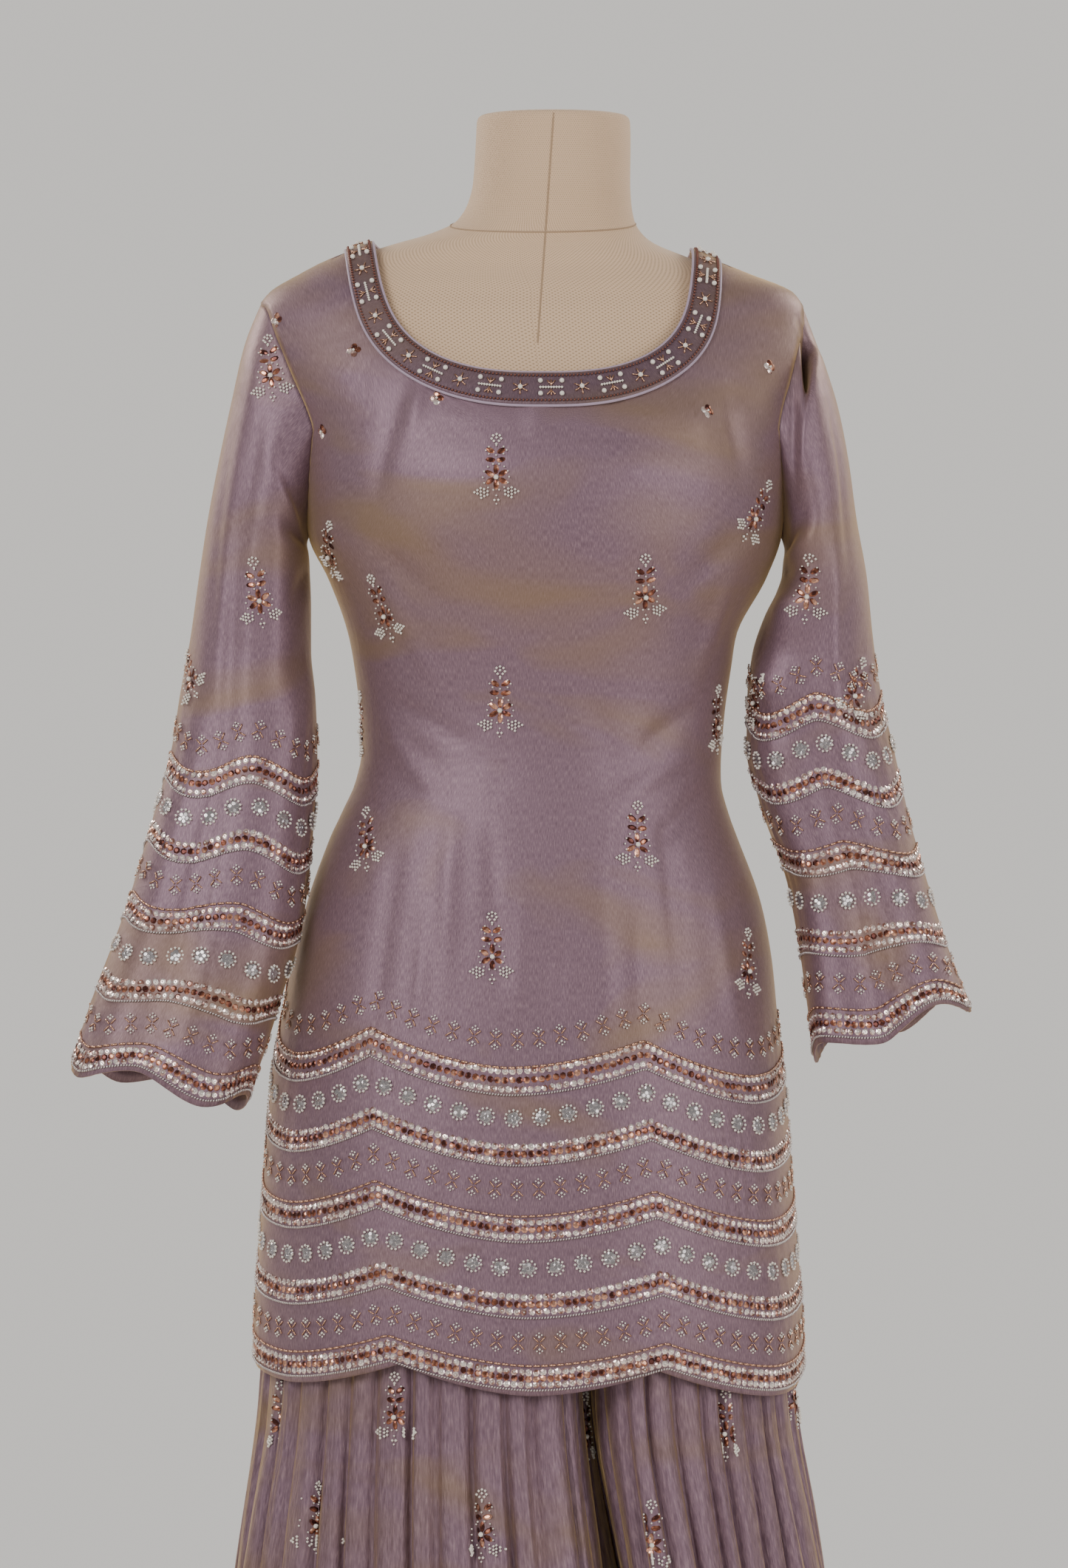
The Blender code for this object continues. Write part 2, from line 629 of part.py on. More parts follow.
# Where the two legs part, at each height, the crotch, and how round each leg is beside the parting
PARTING = ((0.024, 0.080), (0.24, 0.066), (0.45, 0.048), (0.600, 0.0250), (0.700, 0.0205),
           (0.800, 0.0150), (0.900, 0.005), (1.0597, 0.0))
CROTCH = 0.76
LEG_PART_GAP = 0.006
LEG_SEAM_GAP = 0.0008
INNER_ROUND = ((0.024, 0.075), (0.45, 0.055), (0.700, 0.040), (CROTCH, 0.030))
# How far past the middle the dense line of a leg starts, so that it reaches the parting, and its points
LEG_REACH, LINE_POINTS = 1.2, 361
LEG_HEIGHTS = (1.0597, 0.90, CROTCH, 0.615, 0.48, 0.32, 0.16, 0.024)
PLEATS = {"right": 19, "left": 17}
# How unlike each other the pleats are: share of the width, and share of the depth
PLEAT_WIDTH_SWING, PLEAT_DEPTH_SWING = 0.35, 0.3
PLEAT_STEP = 2.4
# Where in its width a pleat has its two ridges and its groove
PLEAT_PROFILE = ((0.10, 1.0), (0.58, 0.8), (0.84, -1.0))
# Depth of the pleats and of the broad waves that the legs fall into, at each height
PLEAT_DEPTH = ((0.024, 0.0095), (0.19, 0.0085), (0.36, 0.0068), (0.52, 0.0050), (0.655, 0.0032),
               (CROTCH, 0.0026), (0.86, 0.0020), (0.96, 0.0013), (1.0597, 0.0005))
WAVE_DEPTH = ((0.024, 0.020), (0.19, 0.014), (0.36, 0.008), (0.52, 0.0025), (0.600, 0.0),
              (1.0597, 0.0))
WAVES_A_PANEL = 2.5
WAVE_PHASE = {1: 0.9, -1: 1.9}
# The pleats fade out towards the parting and the side seam, over these shares of a panel
CALM_INNER, CALM_OUTER, EDGE = 0.10, 0.05, 0.02
EDGE_PLEAT = 0.35


def pleat_columns(count):
    """The shares across a panel of its pleats' points, and how far each stands out."""
    widths = 1 + PLEAT_WIDTH_SWING * np.sin(np.arange(count) * PLEAT_STEP)
    edges = np.concatenate([[0], np.cumsum(widths)]) / widths.sum()
    shares, heights = [0.0], [0.0]
    for i in range(count):
        # the pleats beside the edges leave out their nearest point, so that the wall there isn't cramped
        profile = PLEAT_PROFILE[1:] if i == 0 else PLEAT_PROFILE[:-1] if i == count - 1 else PLEAT_PROFILE
        for at, height in profile:
            shares.append(mix(edges[i], edges[i + 1], at))
            heights.append(height * (1 - PLEAT_DEPTH_SWING * math.sin(i * PLEAT_STEP / 2) ** 2))
    return np.array([*shares, 1.0]), np.array([*heights, 0.0])


def inner_edge(height, side):
    """x of a leg's edge at the parting: a seam above the crotch, and a gap below it."""
    gap = LEG_SEAM_GAP if height >= CROTCH else LEG_PART_GAP
    return steady(PARTING, height)[0] + side * gap / 2


def leg_line(height, side, facing):
    """The dense line of half a leg, from the parting or the inseam to the side seam."""
    angles = np.linspace(-LEG_REACH, QUARTER_TURN, LINE_POINTS) * side
    if facing < 0:
        angles = math.pi - angles
    x, y = ring_point(steady(SHARARA_SECTIONS, height), angles)
    inner = inner_edge(height, side)
    line = np.stack([x, y], axis=1)[(x - inner) * side > 0]
    line = np.vstack([[inner, line[0, 1]], line])
    if height >= CROTCH:
        return line
    rounding = steady(INNER_ROUND, height)[0]
    corner = np.clip(1 - (line[:, 0] - inner) * side / rounding, 0, 1)
    line[:, 1] *= np.sqrt(1 - corner**2)
    return line


def leg_row(height, side, facing, shares, heights):
    line = leg_line(height, side, facing)
    points = along_line(line, shares)
    tangent = np.gradient(points, axis=0)
    normal = np.stack([tangent[:, 1], -tangent[:, 0]], axis=1) * side * facing
    normal /= np.linalg.norm(normal, axis=1)[:, None]
    calm = ease(0, CALM_INNER, shares) * ease(0, CALM_OUTER, 1 - shares)
    edge = ease(0, EDGE, shares) * ease(0, EDGE, 1 - shares)
    pleat = steady(PLEAT_DEPTH, height)[0] * heights * mix(EDGE_PLEAT * edge, 1, calm)
    turns = 2 * math.pi * WAVES_A_PANEL * shares + WAVE_PHASE[facing]
    wave = steady(WAVE_DEPTH, height)[0] * np.sin(turns) * calm
    moved = points + normal * (pleat + wave)[:, None]
    inner = inner_edge(height, side)
    moved[:, 0] = inner + side * np.maximum((moved[:, 0] - inner) * side, 0)
    return np.column_stack([moved, np.full(len(moved), height)])


def build_sharara():
    half, shift, front, back = steady(FORM_SECTIONS, np.array([WAISTBAND_HIGH, WAISTBAND_LOW])).T
    angles = np.arange(FORM_CORNERS) * 2 * math.pi / FORM_CORNERS
    lift = SEAM_GAP + WAISTBAND_THICKNESS / 2
    rows = []
    for i, height in enumerate((WAISTBAND_HIGH, WAISTBAND_LOW)):
        x, y = ring_point((half[i] + lift, shift[i], front[i] + lift, back[i] + lift), angles)
        rows.append(np.column_stack([x, y, np.full(FORM_CORNERS, height)]))
    add_cloth("sharara_waistband", rows, ELASTIC, closed=True, thickness=WAISTBAND_THICKNESS)
    for side_name, side in (("right", -1), ("left", 1)):
        shares, heights = pleat_columns(PLEATS[side_name])
        for facing_name, facing in (("front", 1), ("back", -1)):
            rows = np.array([leg_row(height, side, facing, shares, heights)
                             for height in LEG_HEIGHTS])
            rows[:, -1, 1] -= facing * LEG_SEAM_GAP
            below = [height < CROTCH for height in LEG_HEIGHTS]
            rows[below, 0, 1] -= facing * LEG_SEAM_GAP
            middle = rows.reshape(-1, 3).mean(axis=0)

            def axis_point(point, middle=middle):
                inside = point.copy()
                inside.x, inside.y = middle[0], 0
                return inside

            add_cloth(f"sharara_{side_name}_{facing_name}", rows, TISSUE_SILK, outward=axis_point)


build_form()
build_stand()
kurta_panels = build_kurta()
build_neck_band(kurta_panels)
build_sleeves(kurta_panels)
build_sharara()
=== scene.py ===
import json
import math

import bpy
import numpy as np
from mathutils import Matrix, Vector
from mathutils.bvhtree import BVHTree

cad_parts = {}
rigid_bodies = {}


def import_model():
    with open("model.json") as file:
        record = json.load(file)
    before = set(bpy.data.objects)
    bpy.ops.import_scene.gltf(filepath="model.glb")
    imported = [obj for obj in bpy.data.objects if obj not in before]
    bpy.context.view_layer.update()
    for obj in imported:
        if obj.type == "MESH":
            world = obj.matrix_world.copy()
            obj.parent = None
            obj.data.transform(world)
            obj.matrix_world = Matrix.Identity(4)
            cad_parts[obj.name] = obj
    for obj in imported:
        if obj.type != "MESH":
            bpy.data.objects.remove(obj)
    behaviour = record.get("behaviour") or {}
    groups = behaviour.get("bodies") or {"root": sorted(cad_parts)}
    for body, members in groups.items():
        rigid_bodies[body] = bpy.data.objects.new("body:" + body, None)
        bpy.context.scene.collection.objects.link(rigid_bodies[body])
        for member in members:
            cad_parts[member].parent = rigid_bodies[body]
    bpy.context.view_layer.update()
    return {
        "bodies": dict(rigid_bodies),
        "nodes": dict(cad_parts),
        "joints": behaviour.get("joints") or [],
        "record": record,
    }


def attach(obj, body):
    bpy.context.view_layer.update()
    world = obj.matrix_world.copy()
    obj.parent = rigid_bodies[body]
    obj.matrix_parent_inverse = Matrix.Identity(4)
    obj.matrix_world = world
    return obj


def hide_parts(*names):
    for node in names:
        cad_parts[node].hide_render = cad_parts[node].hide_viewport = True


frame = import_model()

QUARTER = math.pi / 2
CAMERA_DISTANCE = 5.0
FRAME_MIDDLE = (-0.0146, 1.0454)
random = np.random.default_rng(7)


# Stand: a round steel foot plate and a steel tube, which stands in the middle of the plate and
# holds the torso. Each is a turned part with a softened edge.

def material(name, colour, roughness, metallic=0.0, **more):
    """A principled material; more names other sockets of the shader."""
    made = bpy.data.materials.new(name)
    made.use_nodes = True
    shader = made.node_tree.nodes["Principled BSDF"]
    shader.inputs["Base Color"].default_value = (*colour, 1)
    shader.inputs["Roughness"].default_value = roughness
    shader.inputs["Metallic"].default_value = metallic
    for socket, value in more.items():
        shader.inputs[socket.replace("_", " ")].default_value = value
    return made


def add_node(made, kind, inputs=(), **settings):
    """A node of a material, with its settings, and its inputs given as values or as sockets."""
    node = made.node_tree.nodes.new(kind)
    for name, value in settings.items():
        setattr(node, name, value)
    for name, value in dict(inputs).items():
        if isinstance(value, bpy.types.NodeSocket):
            made.node_tree.links.new(value, node.inputs[name])
        else:
            node.inputs[name].default_value = value
    return node


def link(made, socket, to):
    made.node_tree.links.new(socket, made.node_tree.nodes["Principled BSDF"].inputs[to])


def ramp(made, value, stops):
    """A colour ramp; stops are (place, colour)."""
    node = add_node(made, "ShaderNodeValToRGB", {"Fac": value})
    node.color_ramp.elements.remove(node.color_ramp.elements[1])
    node.color_ramp.elements[0].position = stops[0][0]
    node.color_ramp.elements[0].color = (*stops[0][1], 1)
    for place, colour in stops[1:]:
        node.color_ramp.elements.new(place).color = (*colour, 1)
    return node.outputs["Color"]


steel = material("brushed_steel", (0.42, 0.42, 0.43), 0.32, 1.0)
place = add_node(steel, "ShaderNodeTexCoord").outputs["Object"]
grain = add_node(steel, "ShaderNodeTexNoise", {"Vector": place, "Scale": 90.0, "Detail": 3.0})
gloss = ramp(steel, grain.outputs["Fac"], [(0.3, (0.26, 0.26, 0.26)), (0.7, (0.42, 0.42, 0.42))])
link(steel, gloss, "Roughness")


def turned(name, radius, bottom, top, sides, bevel, made):
    """A cylinder with softened rims, standing on the middle line."""
    bpy.ops.mesh.primitive_cylinder_add(vertices=sides, radius=radius, depth=top - bottom)
    piece = bpy.context.object
    piece.name = name
    bpy.ops.object.mode_set(mode="EDIT")
    bpy.ops.mesh.select_all(action="SELECT")
    bpy.ops.transform.translate(value=(0, 0, (top + bottom) / 2))
    bpy.ops.object.mode_set(mode="OBJECT")
    edge = piece.modifiers.new("edge", "BEVEL")
    edge.width = bevel
    edge.segments = 3
    edge.limit_method = "ANGLE"
    bpy.ops.object.shade_smooth_by_angle(angle=math.radians(35))
    piece.data.materials.append(made)
    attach(piece, "root")
    return piece


foot = turned("stand_foot_plate", 0.19, 0.0, 0.010, 96, 0.002, steel)
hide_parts("stand_foot")
pole = turned("stand_tube", 0.0125, 0.0103, 0.7997, 40, 0.0006, steel)
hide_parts("stand_pole")


# Torso of the dress form: a shell covered in beige mesh canvas, cut in panels, with a seam down the
# middle and round the base of the neck, and a flat top with a soft rim.

# height, half width, sideways shift, depth in front, depth behind
FORM_SECTIONS = (
    (0.800, 0.146, -0.010, 0.104, 0.120), (0.830, 0.151, -0.010, 0.108, 0.126),
    (0.880, 0.151, -0.010, 0.109, 0.127), (0.940, 0.142, -0.010, 0.105, 0.116),
    (1.000, 0.127, -0.010, 0.098, 0.100), (1.060, 0.1155, -0.009, 0.089, 0.083),
    (1.092, 0.1150, -0.008, 0.089, 0.082), (1.140, 0.121, -0.008, 0.097, 0.084),
    (1.200, 0.139, -0.006, 0.117, 0.090), (1.245, 0.152, -0.005, 0.128, 0.095),
    (1.300, 0.167, -0.007, 0.117, 0.099), (1.330, 0.178, -0.010, 0.102, 0.100),
    (1.360, 0.187, -0.014, 0.086, 0.098), (1.385, 0.187, -0.0165, 0.073, 0.090),
    (1.398, 0.180, -0.0165, 0.064, 0.083), (1.4055, 0.170, -0.0190, 0.060, 0.079),
    (1.412, 0.157, -0.0215, 0.056, 0.075), (1.4205, 0.1370, -0.0240, 0.0520, 0.070),
    (1.4285, 0.1180, -0.0245, 0.0505, 0.066), (1.4355, 0.0980, -0.0220, 0.049, 0.063),
    (1.4441, 0.0770, -0.0130, 0.049, 0.061), (1.4532, 0.0648, -0.0063, 0.050, 0.059),
    (1.4664, 0.0593, -0.0033, 0.052, 0.0575), (1.4818, 0.0570, -0.0018, 0.0545, 0.0565),
    (1.5240, 0.0557, -0.0005, 0.0556, 0.0556), (1.5275, 0.0549, -0.0005, 0.0548, 0.0548),
    (1.5293, 0.0530, -0.0005, 0.0530, 0.0530), (1.5300, 0.0500, -0.0005, 0.0500, 0.0500),
)
SQUARENESS = 2.2
FORM_CORNERS = 96


def steady(table, at):
    """The rows of a table read at any height, with a smooth curve that never overshoots a row."""
    rows = np.array(table, float)
    knots, values = rows[:, 0], rows[:, 1:]
    at = np.clip(np.asarray(at, float), knots[0], knots[-1])
    steps = np.diff(knots)[:, None]
    slopes = np.diff(values, axis=0) / steps
    before, after = slopes[:-1], slopes[1:]
    same = before * after > 0
    inner = np.where(same, 2 * before * after / np.where(same, before + after, 1), 0)
    tangents = np.vstack([slopes[:1], inner, slopes[-1:]])
    i = np.clip(np.searchsorted(knots, at, side="right") - 1, 0, len(knots) - 2)
    h = steps[i]
    t = ((at - knots[i])[..., None]) / h
    return (
        values[i] * (1 + 2 * t) * (1 - t) ** 2
        + tangents[i] * h * t * (1 - t) ** 2
        + values[i + 1] * t * t * (3 - 2 * t)
        + tangents[i + 1] * h * t * t * (t - 1)
    )


def ring_point(sizes, angle):
    """A point of a body section: angle 0 at the front, a quarter turn at +X. Returns x and y."""
    half, shift, front, back = np.moveaxis(np.asarray(sizes), -1, 0)
    s, c = np.sin(angle), np.cos(angle)
    power = 2 / SQUARENESS
    x = shift + half * np.sign(s) * np.abs(s) ** power
    y = -np.where(c > 0, front, back) * np.sign(c) * np.abs(c) ** power
    return x, y


def outward_side(points, inside, closed):
    """The direction away from the body at each point of a grid of points."""
    wide = np.concatenate([points[:, -1:], points, points[:, :1]], axis=1) if closed else points
    along = np.gradient(wide, axis=1)
    down = np.gradient(wide, axis=0)
    normal = np.cross(along, down)
    if closed:
        normal = normal[:, 1:-1]
    normal /= np.linalg.norm(normal, axis=-1)[..., None] + 1e-12
    facing = ((points - inside) * normal).sum()
    return normal if facing > 0 else -normal


def axis_inside(points):
    """The point of the middle line level with each point."""
    return points * np.array([0, 0, 1])


def cloth_mesh(name, points, made, closed=False, inside=None, thickness=0.0, across=None, down=None):
    """A sheet through a grid of points, with its cloth's directions in metres as texture places."""
    inside = axis_inside(points) if inside is None else inside
    rows, columns = points.shape[:2]
    index = np.arange(rows * columns).reshape(rows, columns)
    left = index if closed else index[:, :-1]
    right = np.roll(index, -1, axis=1) if closed else index[:, 1:]
    faces = np.stack([left[:-1], right[:-1], right[1:], left[1:]], axis=-1).reshape(-1, 4)
    corner = points.reshape(-1, 3)[faces]
    normal = np.cross(corner[:, 2] - corner[:, 0], corner[:, 3] - corner[:, 1])
    away = corner.mean(axis=1) - inside.reshape(-1, 3)[faces].mean(axis=1)
    turn = (normal * away).sum() < 0
    if turn:
        faces = faces[:, ::-1]
    mesh = bpy.data.meshes.new(name)
    mesh.from_pydata(points.reshape(-1, 3).tolist(), [], faces.tolist())
    if across is None:
        gaps = np.linalg.norm(np.diff(points, axis=1), axis=2).mean(axis=0)
        across = np.concatenate([[0], np.cumsum(gaps)])
    if down is None:
        gaps = np.linalg.norm(np.diff(points, axis=0), axis=2).mean(axis=1)
        down = np.concatenate([[0], np.cumsum(gaps)])
    u = np.broadcast_to(across, (rows, columns)).reshape(-1)[faces]
    v = np.broadcast_to(np.reshape(down, (rows, 1)), (rows, columns)).reshape(-1)[faces]
    if closed:
        last = (faces % columns == columns - 1).any(axis=1, keepdims=True)
        u = np.where(last & (faces % columns == 0), across[-1] + across[-1] - across[-2], u)
    layer = mesh.uv_layers.new(name="cloth")
    layer.data.foreach_set("uv", np.stack([u, v], axis=-1).reshape(-1).astype(np.float32))
    mesh.materials.append(made)
    mesh.shade_smooth()
    piece = bpy.data.objects.new(name, mesh)
    bpy.context.scene.collection.objects.link(piece)
    if thickness:
        wall = piece.modifiers.new("wall", "SOLIDIFY")
        wall.thickness = thickness
        wall.offset = 0
    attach(piece, "root")
    return piece


canvas = material("mesh_canvas", (0.62, 0.47, 0.31), 0.85, Sheen_Weight=0.25)
place = add_node(canvas, "ShaderNodeUVMap", uv_map="cloth").outputs["UV"]
holes = []
for turn in (45, -45):
    laid = add_node(canvas, "ShaderNodeMapping",
                    {"Vector": place, "Rotation": (0, 0, math.radians(turn)), "Scale": (160, 160, 160)})
    holes.append(add_node(canvas, "ShaderNodeTexWave",
                          {"Vector": laid.outputs["Vector"], "Scale": 1.0}).outputs["Fac"])
net = add_node(canvas, "ShaderNodeMath", operation="MULTIPLY")
canvas.node_tree.links.new(holes[0], net.inputs[0])
canvas.node_tree.links.new(holes[1], net.inputs[1])
link(canvas, ramp(canvas, net.outputs["Value"],
                  [(0.0, (0.74, 0.53, 0.36)), (0.45, (0.64, 0.45, 0.29)), (1.0, (0.33, 0.21, 0.12))]),
     "Base Color")
relief = add_node(canvas, "ShaderNodeBump",
                  {"Height": net.outputs["Value"], "Strength": 0.35, "Distance": 0.0006}, invert=True)
link(canvas, relief.outputs["Normal"], "Normal")

knots = [row[0] for row in FORM_SECTIONS]
levels = np.unique(np.concatenate([np.linspace(a, b, 5) for a, b in zip(knots, knots[1:])]))
angles = np.arange(FORM_CORNERS) * math.tau / FORM_CORNERS
rings = []
for level in levels:
    x, y = ring_point(steady(FORM_SECTIONS, level), angles)
    rings.append(np.column_stack([x, y, np.full(FORM_CORNERS, level)]))
top = rings[-1]
for share in (0.8, 0.5, 0.2, 0.02):
    rings.append(np.column_stack([top[:, :2] * share, top[:, 2] + 0.0002]))
bottom = rings[0]
rings = [bottom * [0.02, 0.02, 1], bottom * [0.6, 0.6, 1]] + rings
form_points = np.array(rings)
form_inside = form_points * [0, 0, 1]
form_inside[..., 2] = np.clip(form_inside[..., 2], 0.86, 1.50)
torso = cloth_mesh("form_torso_canvas", form_points, canvas, closed=True, inside=form_inside)
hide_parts("form_torso")


# Sharara: trousers with an elastic waistband and two wide legs, each a pleated front and back of the
# same silk in crinkled tissue. They hang from the form's waist inside the kurta down to the floor.

CLOTH, THIN_CLOTH, ELASTIC = 0.0012, 0.0010, 0.0022
# Both legs together: height, half width, sideways shift, depth in front, depth behind
SHARARA_SECTIONS = (
    (0.024, 0.2830, -0.0100, 0.228, 0.242), (0.120, 0.2660, -0.0120, 0.211, 0.225),
    (0.260, 0.2430, -0.0150, 0.188, 0.202), (0.400, 0.2200, -0.0175, 0.167, 0.180),
    (0.520, 0.2030, -0.0190, 0.151, 0.162), (0.590, 0.1930, -0.0195, 0.1425, 0.1525),
    (0.655, 0.1890, -0.0190, 0.1385, 0.1495), (0.720, 0.1840, -0.0190, 0.1340, 0.1460),
    (0.800, 0.1740, -0.0170, 0.1260, 0.1400), (0.880, 0.1640, -0.0140, 0.1190, 0.1370),
    (0.950, 0.1480, -0.0120, 0.1105, 0.1230), (1.000, 0.1330, -0.0115, 0.1035, 0.1070),
    (1.0597, 0.1187, -0.0090, 0.0922, 0.0862),
)
PARTING = ((0.024, 0.080), (0.24, 0.066), (0.45, 0.048), (0.600, 0.0250), (0.700, 0.0205),
           (0.800, 0.0150), (0.900, 0.005), (1.0597, 0.0))
CROTCH = 0.76
LEG_PART_GAP = -0.004
INNER_ROUND = ((0.024, 0.060), (0.45, 0.040), (0.700, 0.030), (CROTCH, 0.026))
PLEATS = {"right": 19, "left": 17}
PLEAT_WIDTH_SWING, PLEAT_DEPTH_SWING, PLEAT_STEP = 0.35, 0.3, 2.4
PLEAT_PROFILE = ((0.10, 1.0), (0.58, 0.8), (0.84, -1.0))
PLEAT_DEPTH = ((0.024, 0.0095), (0.19, 0.0085), (0.36, 0.0068), (0.52, 0.0050), (0.655, 0.0032),
               (CROTCH, 0.0026), (0.86, 0.0020), (0.96, 0.0013), (1.0597, 0.0005))
WAVE_DEPTH = ((0.024, 0.020), (0.19, 0.014), (0.36, 0.008), (0.52, 0.0025), (0.600, 0.0), (1.0597, 0.0))
WAVES_A_PANEL, WAVE_PHASE = 2.5, {1: 0.9, -1: 1.9}
CALM_INNER, CALM_OUTER = 0.10, 0.05
PLEAT_CUTS = 3
LEG_LEVELS = np.concatenate([np.linspace(1.0597, 0.78, 7), np.linspace(0.755, 0.64, 6),
                             np.linspace(0.62, 0.024, 33)])


def ease(low, high, value):
    """0 below low, 1 above high, and a smooth step between them."""
    t = np.clip((np.asarray(value, float) - low) / (high - low), 0, 1)
    return t * t * (3 - 2 * t)


def mix(a, b, share):
    return a + (b - a) * share


def along_line(points, shares):
    """The points of a line at the given shares of its length."""
    points = np.asarray(points, float)
    along = np.concatenate([[0], np.cumsum(np.linalg.norm(np.diff(points, axis=0), axis=1))])
    return np.stack([np.interp(shares * along[-1], along, column) for column in points.T], axis=1)


MAUVE_TONES = ((0.30, (0.150, 0.088, 0.125)), (0.52, (0.225, 0.143, 0.192)), (0.72, (0.330, 0.225, 0.265)))
# Painted sheen: gold mixed into the silk's colour in soft patches, standing in for the gold weft where the cloth
# catches the light.
PAINTED_SHEEN_GOLD = (0.27, 0.180, 0.085)


def silk_material(name, grain_scale, grain_strength, dark=1.0):
    """Shot tissue silk: mauve, with gold painted into its colour in soft patches as a painted sheen, and a
    gold-tinted sheen at its edges.
    """
    made = material(name, (0.24, 0.16, 0.21), 0.50, 0.45, Sheen_Weight=0.7,
                    Sheen_Tint=(1.0, 0.70, 0.32, 1), Sheen_Roughness=0.4)
    place = add_node(made, "ShaderNodeUVMap", uv_map="cloth").outputs["UV"]
    body = add_node(made, "ShaderNodeTexCoord").outputs["Object"]
    laid = add_node(made, "ShaderNodeMapping", {"Vector": place, "Scale": (grain_scale, grain_scale / 7, 1)})
    grain = add_node(made, "ShaderNodeTexNoise",
                     {"Vector": laid.outputs["Vector"], "Scale": 1.0, "Detail": 3.0, "Roughness": 0.6})
    mauve = ramp(made, grain.outputs["Fac"], [(at, tuple(c * dark for c in tone)) for at, tone in MAUVE_TONES])
    # Painted sheen: soft, horizontally stretched patches of gold mixed into the base colour, where the gold weft
    # would catch the light.
    sheen_patch_place = add_node(made, "ShaderNodeMapping", {"Vector": body, "Scale": (6.0, 6.0, 13.0)})
    painted_sheen_patches = add_node(made, "ShaderNodeTexNoise",
                       {"Vector": sheen_patch_place.outputs["Vector"], "Scale": 1.0, "Detail": 2.0, "Distortion": 0.8})
    share = ramp(made, painted_sheen_patches.outputs["Fac"], [(0.50, (0.0, 0.0, 0.0)), (0.74, (0.60, 0.60, 0.60))])
    painted_sheen_colour = tuple(c * dark for c in PAINTED_SHEEN_GOLD)
    silk_and_painted_sheen = add_node(made, "ShaderNodeMixRGB", {"Fac": share, "Color1": mauve, "Color2": (*painted_sheen_colour, 1)})
    link(made, silk_and_painted_sheen.outputs["Color"], "Base Color")
    crumple = add_node(made, "ShaderNodeTexNoise",
                       {"Vector": body, "Scale": 26.0, "Detail": 3.0, "Distortion": 1.4})
    soft = add_node(made, "ShaderNodeBump",
                    {"Height": crumple.outputs["Fac"], "Strength": 0.22, "Distance": 0.0030})
    relief = add_node(made, "ShaderNodeBump", {"Height": grain.outputs["Fac"], "Strength": grain_strength,
                                               "Distance": 0.0010, "Normal": soft.outputs["Normal"]})
    link(made, relief.outputs["Normal"], "Normal")
    return made


def pleat_columns(count):
    """The shares across a panel of its pleats' points, and how far each stands out."""
    widths = 1 + PLEAT_WIDTH_SWING * np.sin(np.arange(count) * PLEAT_STEP)
    edges = np.concatenate([[0], np.cumsum(widths)]) / widths.sum()
    shares, stands = [0.0], [0.0]
    for i in range(count):
        profile = PLEAT_PROFILE[1:] if i == 0 else PLEAT_PROFILE[:-1] if i == count - 1 else PLEAT_PROFILE
        for at, stand in profile:
            shares.append(mix(edges[i], edges[i + 1], at))
            stands.append(stand * (1 - PLEAT_DEPTH_SWING * math.sin(i * PLEAT_STEP / 2) ** 2))
    shares, stands = np.array([*shares, 1.0]), np.array([*stands, 0.0])
    steps = np.arange((len(shares) - 1) * PLEAT_CUTS + 1) / PLEAT_CUTS
    fine = np.interp(steps, np.arange(len(shares)), shares)
    return fine, steady(np.column_stack([shares, stands]), fine)[:, 0]


def leg_line(height, side, facing):
    """The dense line of half a leg, from the parting or the inseam to the side seam."""
    angles = np.linspace(-1.2, QUARTER, 361) * side
    angles = angles if facing > 0 else math.pi - angles
    x, y = ring_point(steady(SHARARA_SECTIONS, height), angles)
    inner = steady(PARTING, height)[0] + side * LEG_PART_GAP / 2
    line = np.stack([x, y], axis=1)[(x - inner) * side > 0]
    line = np.vstack([[inner, line[0, 1]], line])
    rounding = steady(INNER_ROUND, height)[0]
    corner = np.clip(1 - (line[:, 0] - inner) * side / rounding, 0, 1)
    open_below = ease(CROTCH + 0.02, CROTCH - 0.05, height)
    line[:, 1] *= mix(1, np.sqrt(1 - corner**2), open_below)
    return line, inner


def leg_points(side, facing, shares, stands):
    """A grid of points of half a leg, with its pleats, broad waves and fine crinkles."""
    rows = []
    for height in LEG_LEVELS:
        line, inner = leg_line(height, side, facing)
        points = along_line(line, shares)
        tangent = np.gradient(points, axis=0)
        normal = np.stack([tangent[:, 1], -tangent[:, 0]], axis=1) * side * facing
        normal /= np.linalg.norm(normal, axis=1)[:, None]
        calm = ease(0, CALM_INNER, shares) * ease(0, CALM_OUTER, 1 - shares)
        edge = ease(0, 0.02, shares) * ease(0, 0.02, 1 - shares)
        depth = steady(PLEAT_DEPTH, height)[0]
        wander = 1 + 0.22 * np.sin(height * 19 + shares * 70 + facing) * ease(0.66, 0.58, height)
        pleat = depth * stands * wander * mix(0.35 * edge, 1, calm)
        pleat += depth * 0.16 * np.sin(shares * 410 + 2 * np.sin(height * 13 + shares * 31)) * calm
        wave = steady(WAVE_DEPTH, height)[0] * np.sin(math.tau * WAVES_A_PANEL * shares + WAVE_PHASE[facing])
        moved = points + normal * (pleat + wave * calm)[:, None]
        moved[:, 0] = inner + side * np.maximum((moved[:, 0] - inner) * side, 0)
        rows.append(np.column_stack([moved, np.full(len(moved), height)]))
    return np.array(rows)


elastic = material("waist_elastic", (0.24, 0.18, 0.24), 0.7)
angles = np.arange(FORM_CORNERS) * math.tau / FORM_CORNERS
rows = []
for level, out in ((1.060, 0.0014), (1.068, 0.0017), (1.076, 0.0015), (1.084, 0.0017), (1.092, 0.0014)):
    half, shift, front, back = steady(FORM_SECTIONS, level)
    x, y = ring_point((half + out, shift, front + out, back + out), angles)
    rows.append(np.column_stack([x, y, np.full(FORM_CORNERS, level)]))
waist = cloth_mesh("sharara_waist_elastic", np.array(rows), elastic, closed=True, thickness=ELASTIC)
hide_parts("sharara_waistband")

